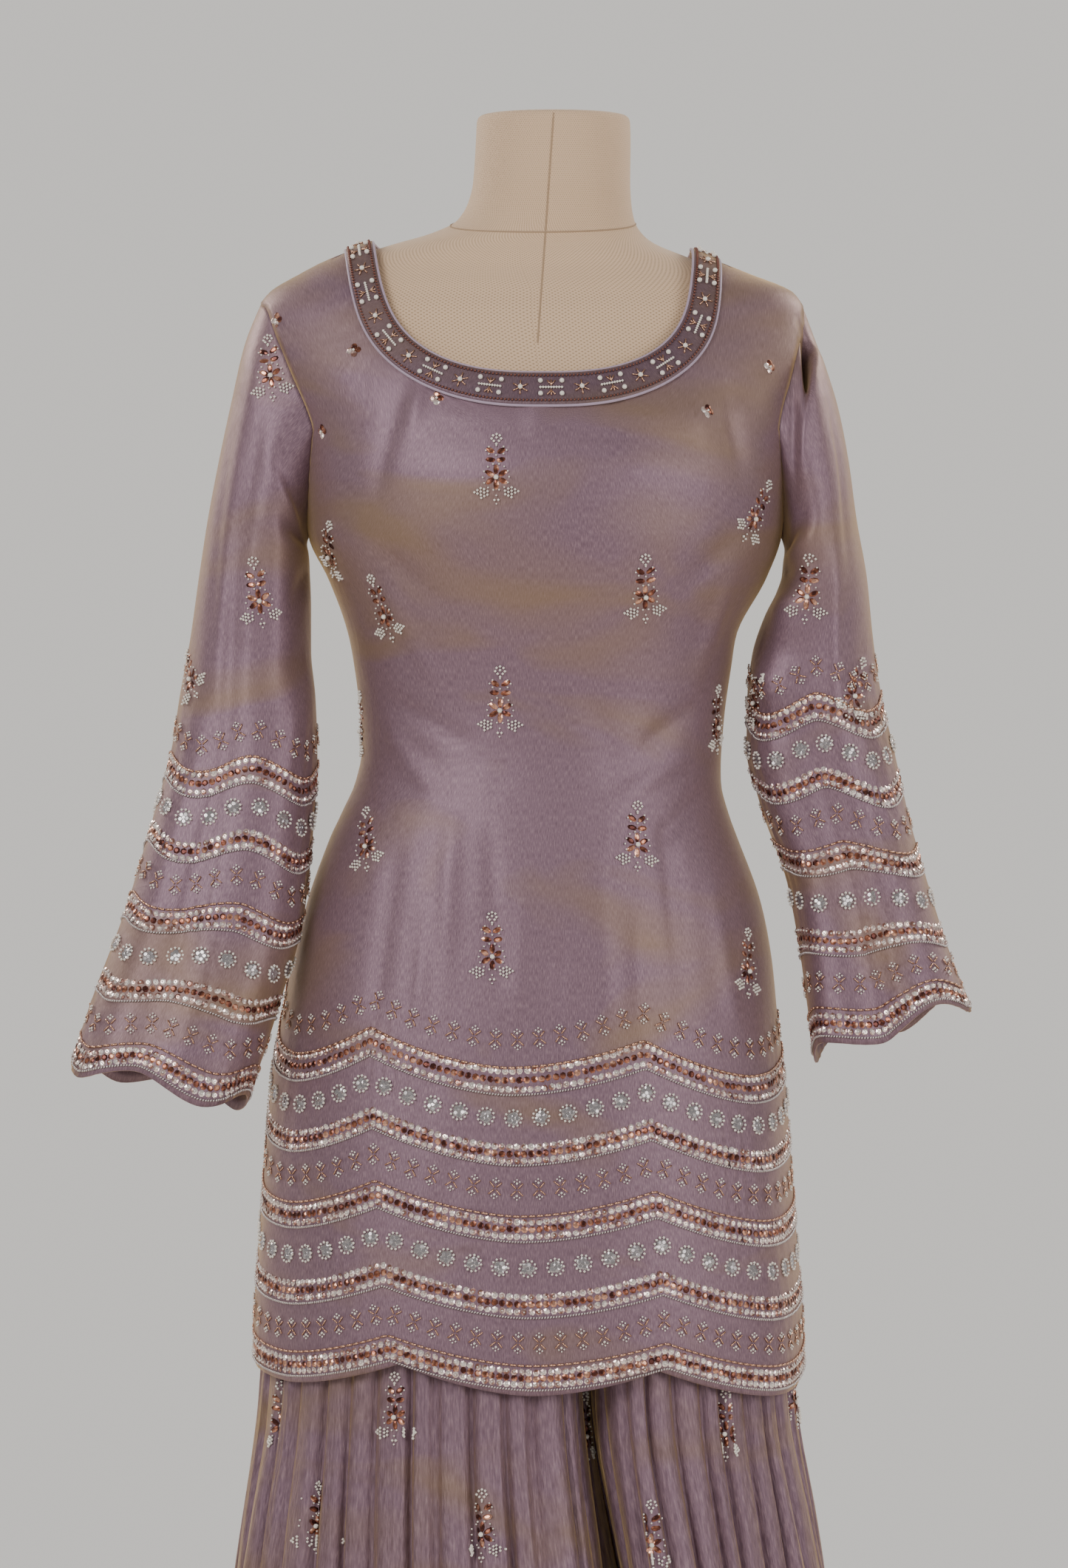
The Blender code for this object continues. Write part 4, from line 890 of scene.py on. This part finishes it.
bpy.ops.mesh.primitive_cone_add(vertices=7, radius1=0.0026, radius2=0.0013, depth=SEQUIN_DEPTH,
                                location=(0, 0, SEQUIN_MIDDLE))
sequin = taken()
bpy.ops.mesh.primitive_cone_add(vertices=8, radius1=0.0020, radius2=0.0010, depth=SEQUIN_DEPTH,
                                location=(0, 0, SEQUIN_MIDDLE))
bpy.ops.transform.resize(value=(1.9, 1.0, 1.0))
oval = taken()
bpy.ops.mesh.primitive_uv_sphere_add(segments=4, ring_count=3, radius=0.00115, location=(0, 0, 0.0009))
bead = taken()
bpy.ops.mesh.primitive_uv_sphere_add(segments=4, ring_count=2, radius=0.0008, location=(0, 0, 0.0011))
seed = taken()
bpy.ops.mesh.primitive_ico_sphere_add(subdivisions=2, radius=0.0018, location=(0, 0, 0.0014))
pearl = taken()
bpy.ops.mesh.primitive_cylinder_add(vertices=6, radius=0.0008, depth=0.0046, location=(0, 0, 0.0008),
                                    rotation=(0, QUARTER, 0))
bugle = taken()
bpy.ops.mesh.primitive_cylinder_add(vertices=5, radius=0.00055, depth=0.0050, location=(0, 0, 0.0007),
                                    rotation=(0, QUARTER, 0))
fine_bugle = taken()
bpy.ops.mesh.primitive_uv_sphere_add(segments=4, ring_count=3, radius=0.0011, location=(0, 0, 0.0007))
bpy.ops.transform.resize(value=(0.75, 1.25, 0.9))
bpy.ops.transform.rotate(value=0.7, orient_axis="Z", center_override=(0, 0, 0))
strand = taken()

copper = material("copper_sequin", (0.36, 0.17, 0.12), 0.25, 0.9)
rose = material("rose_silver_sequin", (0.72, 0.56, 0.52), 0.22, 0.85, Coat_Weight=0.3)
for made, stops in (
    (copper, [(0.40, (0.10, 0.035, 0.03)), (0.52, (0.34, 0.13, 0.08)), (0.62, (0.70, 0.38, 0.27))]),
    (rose, [(0.36, (0.34, 0.17, 0.14)), (0.47, (0.78, 0.60, 0.56)), (0.60, (0.97, 0.87, 0.84))]),
):
    # Painted glint: a noise spreads the colour across the sequins from dark to bright, over their own copper and
    # rose-silver tone.
    place = add_node(made, "ShaderNodeTexCoord").outputs["Object"]
    painted_glint = add_node(made, "ShaderNodeTexNoise", {"Vector": place, "Scale": 170.0, "Detail": 1.0})
    link(made, ramp(made, painted_glint.outputs["Fac"], stops), "Base Color")
clear = material("clear_silver_sequin", (0.42, 0.40, 0.42), 0.2, 0.8)
thread = material("copper_thread", (0.22, 0.09, 0.07), 0.45, 0.6)
white = material("white_bead", (0.86, 0.82, 0.76), 0.3, Coat_Weight=0.4)
gold = material("rose_gold_bugle", (0.62, 0.37, 0.26), 0.25, 0.9)
silver = material("silver_cord", (0.60, 0.55, 0.55), 0.35, 0.75)
# kind: shape, material, slot
KINDS = {
    "copper_sequins": (sequin, copper, "sequins"), "rose_sequins": (sequin, rose, "sequins"),
    "oval_sequins": (oval, copper, "sequins"), "beads": (bead, white, "pearls"),
    "seed_beads": (seed, white, "pearls"), "pearls": (pearl, white, "pearls"),
    "bugles": (bugle, gold, "metal_thread"), "fine_bugles": (fine_bugle, gold, "metal_thread"),
    "cord": (strand, silver, "metal_thread"), "stitches": (strand, thread, "metal_thread"),
    "clear_sequins": (sequin, clear, "sequins"),
}


FLAT_KINDS = ("copper_sequins", "rose_sequins", "clear_sequins", "oval_sequins")
SEQUIN_TILT = 0.10


def unit(lines):
    return lines / (np.linalg.norm(lines, axis=-1, keepdims=True) + 1e-12)


def frames_of(place, ahead, out):
    """Frames of place, ahead, up and out, with up never downwards."""
    ahead = unit(ahead - out * (ahead * out).sum(axis=1, keepdims=True))
    up = np.cross(out, ahead)
    way = np.where(up[:, 2:] < 0, -1, 1)
    return np.stack([place, ahead * way, up * way, out], axis=1)


def along_border(points, normals, pitch, lift=ON_CLOTH):
    """Frames at an even pitch along a line that lies on a cloth."""
    gaps = np.linalg.norm(np.diff(points, axis=0), axis=1)
    along = np.concatenate([[0], np.cumsum(gaps)])
    count = max(1, round(along[-1] / pitch))
    at = (np.arange(count) + 0.5) * along[-1] / count
    heading = np.gradient(points, axis=0)
    place, out, ahead = (
        np.stack([np.interp(at, along, column) for column in lines.T], axis=1)
        for lines in (points, normals, heading)
    )
    out = unit(out)
    return frames_of(place + out * lift, ahead, out)


def around(frames, spots):
    """Frames set out round each frame; spots are (along, up, turn) in millimetres and radians."""
    made = []
    for x, y, turn in spots:
        c, s = math.cos(turn), math.sin(turn)
        place = frames[:, 0] + (x * frames[:, 1] + y * frames[:, 2]) / 1000
        ahead = c * frames[:, 1] + s * frames[:, 2]
        up = c * frames[:, 2] - s * frames[:, 1]
        made.append(np.stack([place, ahead, up, frames[:, 3]], axis=1))
    return np.concatenate(made)


def circle(count, radius, middle=(0, 0), stretch=1.0, first=0.0):
    """Spots round a circle, each turned to point outwards."""
    turns = first + np.arange(count) * math.tau / count
    return [(middle[0] + radius * math.cos(t), middle[1] + radius * stretch * math.sin(t), t) for t in turns]


def sewn(piece, kind, *groups):
    """One mesh of the copies of a kind at the frames of all the groups."""
    (points, faces), made, slot = KINDS[kind]
    frames = np.concatenate(groups)
    if kind in FLAT_KINDS:
        out = unit(frames[:, 3] + random.normal(0, SEQUIN_TILT, (len(frames), 3)))
        ahead = unit(frames[:, 1] - out * (frames[:, 1] * out).sum(axis=1, keepdims=True))
        frames = np.stack([frames[:, 0], ahead, np.cross(out, ahead), out], axis=1)
    placed = frames[:, None, 0] + np.einsum("pk,nkc->npc", points, frames[:, 1:])
    listed = faces + np.arange(len(frames))[:, None, None] * len(points)
    mesh = bpy.data.meshes.new(f"{piece}_{kind}")
    mesh.from_pydata(placed.reshape(-1, 3).tolist(), [], listed.reshape(-1, 3).tolist())
    mesh.materials.append(made)
    if kind not in FLAT_KINDS:
        mesh.shade_smooth()
    sewn_on = bpy.data.objects.new(mesh.name, mesh)
    bpy.context.scene.collection.objects.link(sewn_on)
    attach(sewn_on, "root")
    return sewn_on


def border(name, offset):
    """A line of the border at a distance above the hem or the cuff: its points and directions."""
    cloth = cloths[name]
    share, up = cloth["across"], offset / BORDER_TOP
    if cloth["closed"]:
        side = -1 if name == "right" else 1
        want = offset + CUFF_RISE * scallop_rise(share, CUFF_CUSPS[side] - CUSP_DRIFT[side] * offset)
    else:
        point = mix(*SCALLOP_POINT, up)
        middle = mix(*SCALLOP_MIDDLE, up) if name == "front" else 0
        places = (-1, middle - point, middle, middle + point, 1)
        along = np.interp(share, places, (-1, -SCALLOP_SHARE, 0, SCALLOP_SHARE, 1))
        rise = hem_rise(along) * mix(*SCALLOP_SCALE, up) - mix(*SCALLOP_TILT, up) * share
        want = HEM_LOW + offset + rise
    columns = list(range(len(share))) + ([0] if cloth["closed"] else [])
    found = [
        [np.interp(want[j], cloth["level"][:, j], cloth[key][:, j, axis])
         for key in ("points", "normals") for axis in range(3)]
        for j in columns
    ]
    return np.array(found)[:, :3], np.array(found)[:, 3:]


FLOWER_RING = circle(12, 5.8)
FLOWER_HEART = circle(5, 2.7) + [(0, 0, 0)]
CROSS_ARMS = [(2.5, 2.6, 0.8), (-2.5, 2.6, -0.8), (2.5, -2.6, -0.8), (-2.5, -2.6, 0.8)]
CROSS_BEADS = [(0, 4.4, 0), (0, -4.4, 0)]
CROSS_SEEDS = [(x, way * y, 0) for way in (-1, 1) for x, y in ((-1.9, 5.6), (1.9, 5.6), (0, 7.0))]
for piece, names in (("kurta_border", ("front", "back")), ("cuff_right_border", ("right",)),
                     ("cuff_left_border", ("left",))):
    lines = {}
    for kind, offsets, pitch in (
        ("outer", [row for band in SEQUIN_BANDS for row in (band[0], band[2])], 0.0052),
        ("inner", [band[1] for band in SEQUIN_BANDS], 0.0052), ("bugles", BUGLE_LINES, 0.0056),
        ("cord", CORDS, 0.0020), ("flowers", FLOWER_LINES, 0.0195), ("crosses", CROSS_LINES, 0.0153),
    ):
        lines[kind] = np.concatenate(
            [along_border(*border(name, offset), pitch) for name in names for offset in offsets])
    sewn(piece, "rose_sequins", lines["outer"])
    sewn(piece, "clear_sequins", around(lines["flowers"], FLOWER_HEART))
    sewn(piece, "copper_sequins", lines["inner"])
    sewn(piece, "seed_beads", lines["outer"], around(lines["crosses"], CROSS_SEEDS))
    sewn(piece, "cord", lines["cord"])
    sewn(piece, "bugles", lines["bugles"])
    sewn(piece, "fine_bugles", around(lines["crosses"], CROSS_ARMS))
    sewn(piece, "beads", around(lines["flowers"], FLOWER_RING), around(lines["crosses"], CROSS_BEADS))


# Motifs: single sprigs strewn over the kurta, the sleeves and the sharara. Each has a copper flower with
# a pearl in it, a bud of white beads and oval sequins above, and two leaves of white beads below.

# x and height as seen from the front, and lean
KURTA_SPRIGS = (
    (-0.042, 1.274, 0), (0.066, 1.187, 0), (-0.124, 1.173, 0.35), (-0.039, 1.105, 0),
    (-0.136, 1.005, 0), (0.06, 1.007, 0), (-0.045, 0.926, 0), (0.14, 0.915, 0),
    (0.147, 1.243, -0.4), (0.117, 1.092, 0), (-0.139, 1.089, 0), (-0.163, 1.215, 0.1),
    (-0.215, 1.184, 0.15), (-0.264, 1.125, 0.3), (-0.206, 1.347, 0.1), (0.184, 1.187, -0.1),
    (0.147, 1.108, 0), (0.218, 1.114, -0.25),
)
LEG_SPRIGS = (
    (-0.198, 0.586, 0), (-0.115, 0.592, 0), (0.023, 0.578, 0), (0.125, 0.58, 0), (-0.172, 0.513, 0),
    (-0.052, 0.507, 0), (0.07, 0.499, 0), (0.174, 0.603, 0), (-0.24, 0.36, 0), (-0.14, 0.36, 0),
    (-0.04, 0.36, 0), (0.06, 0.36, 0), (0.16, 0.36, 0), (-0.19, 0.27, 0), (-0.09, 0.27, 0),
    (0.01, 0.27, 0), (0.11, 0.27, 0), (0.21, 0.27, 0), (-0.24, 0.18, 0), (-0.14, 0.18, 0),
    (-0.04, 0.18, 0), (0.06, 0.18, 0), (0.16, 0.18, 0), (-0.19, 0.09, 0), (-0.09, 0.09, 0),
    (0.01, 0.09, 0), (0.11, 0.09, 0), (0.21, 0.09, 0),
)
DOTS = (
    (-0.145, 1.36), (-0.201, 1.382), (0.111, 1.316), (0.156, 1.348),
    (-0.085, 1.325), (-0.168, 1.301),
)
FLOWER_MIDDLE = (0, -5.9)
SPRIG_PETALS = circle(6, 5.4, FLOWER_MIDDLE, first=QUARTER)
SPRIG_OVALS = [(-3.9, 13.3, 2.6), (3.9, 13.3, 0.54), (-3.9, 6.4, 3.0), (3.9, 6.4, 0.14)]
SPRIG_OUTLINE = circle(14, 9.3, FLOWER_MIDDLE) + [(0, -19, 0), (0, -25, 0)] + circle(8, 7.4, (0, 13.3), 0.5)
LEAF_BEADS = ((-4.4, 0.9), (-4.2, -1.6), (-2.0, 2.4), (-2.0, 0.0), (-2.0, -2.6), (0.4, 3.2), (0.4, 0.8),
              (0.4, -1.6), (0.2, -3.8), (2.8, 1.8), (2.8, -0.6), (5.0, 0.4))
SPRIG_BEADS = [(0, 25.6, 0), (-2.4, 24.6, 0), (2.4, 24.6, 0), (-3.4, 22.2, 0), (3.4, 22.2, 0), (0, 23.0, 0),
               (-1.8, 20.4, 0), (1.8, 20.4, 0), (0, 18.2, 0), (-1.4, -22.2, 0), (1.4, -22.2, 0)]
SPRIG_BEADS += [(way * (10.6 + x), -16.7 + y, 0) for way in (-1, 1) for x, y in LEAF_BEADS]
SPRIG_HEART = [(*FLOWER_MIDDLE, 0)]
DOT_SEQUINS = circle(4, 3.0)
DOT_HEART = [(0, 0, 0)]


def tree_of(points, closed):
    """A search tree of the faces of a cloth's grid."""
    rows, columns = points.shape[:2]
    index = np.arange(rows * columns).reshape(rows, columns)
    left = index if closed else index[:, :-1]
    right = np.roll(index, -1, axis=1) if closed else index[:, 1:]
    faces = np.stack([left[:-1], right[:-1], right[1:], left[1:]], axis=-1).reshape(-1, 4)
    return BVHTree.FromPolygons(points.reshape(-1, 3).tolist(), faces.tolist())


def laid(tree, frames, lift=ON_CLOTH):
    """Frames moved onto the nearest place of a cloth and turned to lie on it."""
    hits = [tree.find_nearest(place.tolist()) for place in frames[:, 0]]
    out = np.array([hit[1] for hit in hits])
    out *= np.sign((out * frames[:, 3]).sum(axis=1, keepdims=True))
    return np.stack([np.array([hit[0] for hit in hits]) + out * lift,
                     *np.moveaxis(frames_of(frames[:, 0], frames[:, 1], out)[:, 1:], 1, 0)], axis=1)


def shot(trees, x, z, facing, lean):
    """The frame where a ray through x and z at the body's middle meets the first of some cloths."""
    eye = Vector((FRAME_MIDDLE[0], -facing * CAMERA_DISTANCE, FRAME_MIDDLE[1]))
    ray = (Vector((x, 0, z)) - eye).normalized()
    hits = [(*tree.ray_cast(eye, ray), tree) for tree in trees]
    hits = [hit for hit in hits if hit[0] is not None]
    if not hits:
        return None, None
    place, normal, _, _, tree = min(hits, key=lambda hit: hit[3])
    out = np.array(normal) if normal.dot(ray) < 0 else -np.array(normal)
    ahead = np.array([math.cos(lean), 0, math.sin(lean)]) * facing
    frame = np.array([place, ahead, np.cross(out, ahead), out])
    frame[1] = unit(frame[1] - out * (frame[1] @ out))
    frame[2] = np.cross(out, frame[1])
    return frame[None], tree


kurta_trees = {name: tree_of(cloths[name]["points"], cloths[name]["closed"]) for name in cloths}
leg_trees = {key: tree_of(leg["points"], False) for key, leg in legs.items()}
strewn = {kind: [] for kind in (
    "copper_sequins", "rose_sequins", "oval_sequins", "beads", "seed_beads", "pearls")}
for facing, panel in ((1, "front"), (-1, "back")):
    shirt = [kurta_trees[panel], kurta_trees["right"], kurta_trees["left"]]
    trousers = [leg_trees["right", panel], leg_trees["left", panel]]
    for trees, places in ((shirt, KURTA_SPRIGS), (trousers, LEG_SPRIGS)):
        for x, z, lean in places:
            frame, tree = shot(trees, x, z, facing, lean)
            if tree is None:
                continue
            strewn["oval_sequins"] += [laid(tree, around(frame, SPRIG_PETALS + SPRIG_OVALS))]
            strewn["beads"] += [laid(tree, around(frame, SPRIG_BEADS))]
            strewn["pearls"] += [laid(tree, around(frame, SPRIG_HEART), ON_CLOTH + 0.0005)]
            strewn["seed_beads"] += [laid(tree, around(frame, SPRIG_OUTLINE))]
    for x, z in DOTS:
        frame, tree = shot(shirt, x, z, facing, 0)
        if tree is not None:
            strewn["copper_sequins"] += [laid(tree, around(frame, DOT_SEQUINS[:2]))]
            strewn["rose_sequins"] += [laid(tree, around(frame, DOT_SEQUINS[2:]))]
            strewn["beads"] += [laid(tree, around(frame, DOT_HEART))]
for kind, groups in strewn.items():
    sewn("sprigs", kind, *groups)


# Neck band embroidery and piping: copper flowers with a pearl and beaded bars by turns, a pearl between
# each two, stitch lines along both edges and a thin silk piping along the lower edge.

FLOWER_PITCH, PIPING_RADIUS, SEAM_RADIUS = 0.022, 0.0011, 0.0006


def tube(name, line, normals, radius, made):
    """A thin round cord through a line of points."""
    ahead = unit(np.gradient(line, axis=0))
    side = unit(np.cross(normals, ahead))
    turns = np.arange(8) * math.tau / 8
    ring = np.cos(turns)[None, :, None] * side[:, None] + np.sin(turns)[None, :, None] * normals[:, None]
    ring = ring * radius
    cord = cloth_mesh(name, line[:, None] + ring, made, closed=True,
                      inside=np.broadcast_to(line[:, None], ring.shape).copy())
    return cord


piping = material("silk_piping", (0.40, 0.31, 0.42), 0.5, Sheen_Weight=0.4)
trims = {"fine_bugles": [], "pearls": [], "beads": [], "stitches": []}
for name, (points, normals) in bands.items():
    normals = unit(normals)
    middle = along_border(points[4], normals[4], FLOWER_PITCH, 0.0005)
    flowers, bars = middle[::2], middle[1::2]
    fans = [(0.9 * lean, way * 4.0, way * (QUARTER - 0.45 * lean))
            for way in (-1, 1) for lean in (-1.5, 0, 1.5)]
    trims["fine_bugles"] += [around(flowers, circle(6, 3.4, first=QUARTER)), around(bars, fans)]
    trims["pearls"] += [around(flowers, [(0, 0, 0)]),
                        around(bars, [(x, y, 0) for x in (-7.6, 7.6) for y in (-5.4, 5.4)])]
    trims["beads"] += [around(bars, [(1.9 * step, 0, 0) for step in range(-4, 5)])]
    trims["stitches"] += [along_border(points[row], normals[row], 0.0026, 0.0005) for row in (1, 7)]
    for edge in (0, -1):
        line = points[edge] - normals[edge] * 0.0004
        place = "lower" if edge == 0 else "upper"
        tube(f"neck_piping_{name}_{place}", line, normals[edge], PIPING_RADIUS, piping)
for kind, groups in trims.items():
    sewn("neck_band", kind, *groups)


# Seams of the dress form: the canvas is sewn down the middle of the front and the back and round the
# base of the neck, and each seam shows as a thin raised line.

seam_canvas = material("canvas_seam", (0.40, 0.28, 0.18), 0.85)
for name, angle in (("front", 0.0), ("back", math.pi)):
    levels = np.linspace(1.36, 1.527, 40)
    half, shift, _, _ = np.moveaxis(steady(FORM_SECTIONS, levels), -1, 0)
    off = (np.interp(levels, (1.36, 1.527), (-0.012, -0.0005)) - shift) / half
    lean = np.arcsin(np.sign(off) * np.abs(off) ** (SQUARENESS / 2))
    line = np.array([[*ring_point(steady(FORM_SECTIONS, z), angle + a * math.cos(angle)), z]
                     for z, a in zip(levels, lean)])
    out = np.broadcast_to(np.array([0.0, -1.0 if name == "front" else 1.0, 0.0]), line.shape).copy()
    tube(f"form_seam_{name}", line, out, SEAM_RADIUS, seam_canvas)
turns = np.linspace(0, math.tau, 97)
neck_base = np.array([[*ring_point(steady(FORM_SECTIONS, 1.452 - 0.010 * math.cos(t)), t),
                       1.452 - 0.010 * math.cos(t)] for t in turns])
tube("form_seam_neck", neck_base, unit(neck_base * [1, 1, 0]), SEAM_RADIUS, seam_canvas)


# Floor, light and camera: a plain pale floor, soft studio lamps, a pale surround that is brighter behind
# the suit, and the photo's view from straight ahead.

pale = material("pale_floor", (0.86, 0.82, 0.76), 0.8)
plane = np.array([[(x, y, 0.0) for x in (-4.0, 4.0)] for y in (-4.0, 3.8)])
floor = cloth_mesh("studio_floor", plane, pale, inside=plane - [0, 0, 1])

world = bpy.data.worlds.new("studio")
world.use_nodes = True
surround = world.node_tree.nodes["Background"]
surround.inputs["Color"].default_value = (0.95, 0.92, 0.88, 1)
place = add_node(world, "ShaderNodeTexCoord").outputs["Generated"]
way = add_node(world, "ShaderNodeSeparateXYZ", {"Vector": place})
glow = add_node(world, "ShaderNodeMapRange", {
    "Value": way.outputs["Y"], "From Min": 0.0, "From Max": 0.8, "To Min": 0.36, "To Max": 0.80})
world.node_tree.links.new(glow.outputs["Result"], surround.inputs["Strength"])
bpy.context.scene.world = world
# name, place, size, power, colour
LAMPS = (
    ("key", (-1.9, -2.6, 2.5), 1.6, 60, (1.0, 0.97, 0.93)),
    ("fill", (2.3, -2.2, 1.7), 1.8, 38, (1.0, 0.96, 0.92)),
    ("back_left", (-1.8, 1.3, 2.3), 0.8, 26, (1.0, 0.90, 0.78)),
    ("back_right", (1.8, 1.3, 2.3), 0.8, 26, (1.0, 0.90, 0.78)),
)
for name, spot, size, power, colour in LAMPS:
    lamp = bpy.data.lights.new(name, "AREA")
    lamp.size = size
    lamp.energy = power
    lamp.color = colour
    lamp_object = bpy.data.objects.new(name, lamp)
    bpy.context.scene.collection.objects.link(lamp_object)
    lamp_object.location = spot
    aim = Vector((0, 0, 1.05)) - lamp_object.location
    lamp_object.rotation_euler = aim.to_track_quat("-Z", "Y").to_euler()

FRAME_HEIGHT = 1.1375
view = bpy.data.cameras.new("camera")
view.sensor_width = 36
view.lens = 36 * CAMERA_DISTANCE / FRAME_HEIGHT
camera = bpy.data.objects.new("camera", view)
bpy.context.scene.collection.objects.link(camera)
camera.location = (FRAME_MIDDLE[0], -CAMERA_DISTANCE, FRAME_MIDDLE[1])
camera.rotation_euler = (QUARTER, 0, 0)
bpy.context.scene.camera = camera
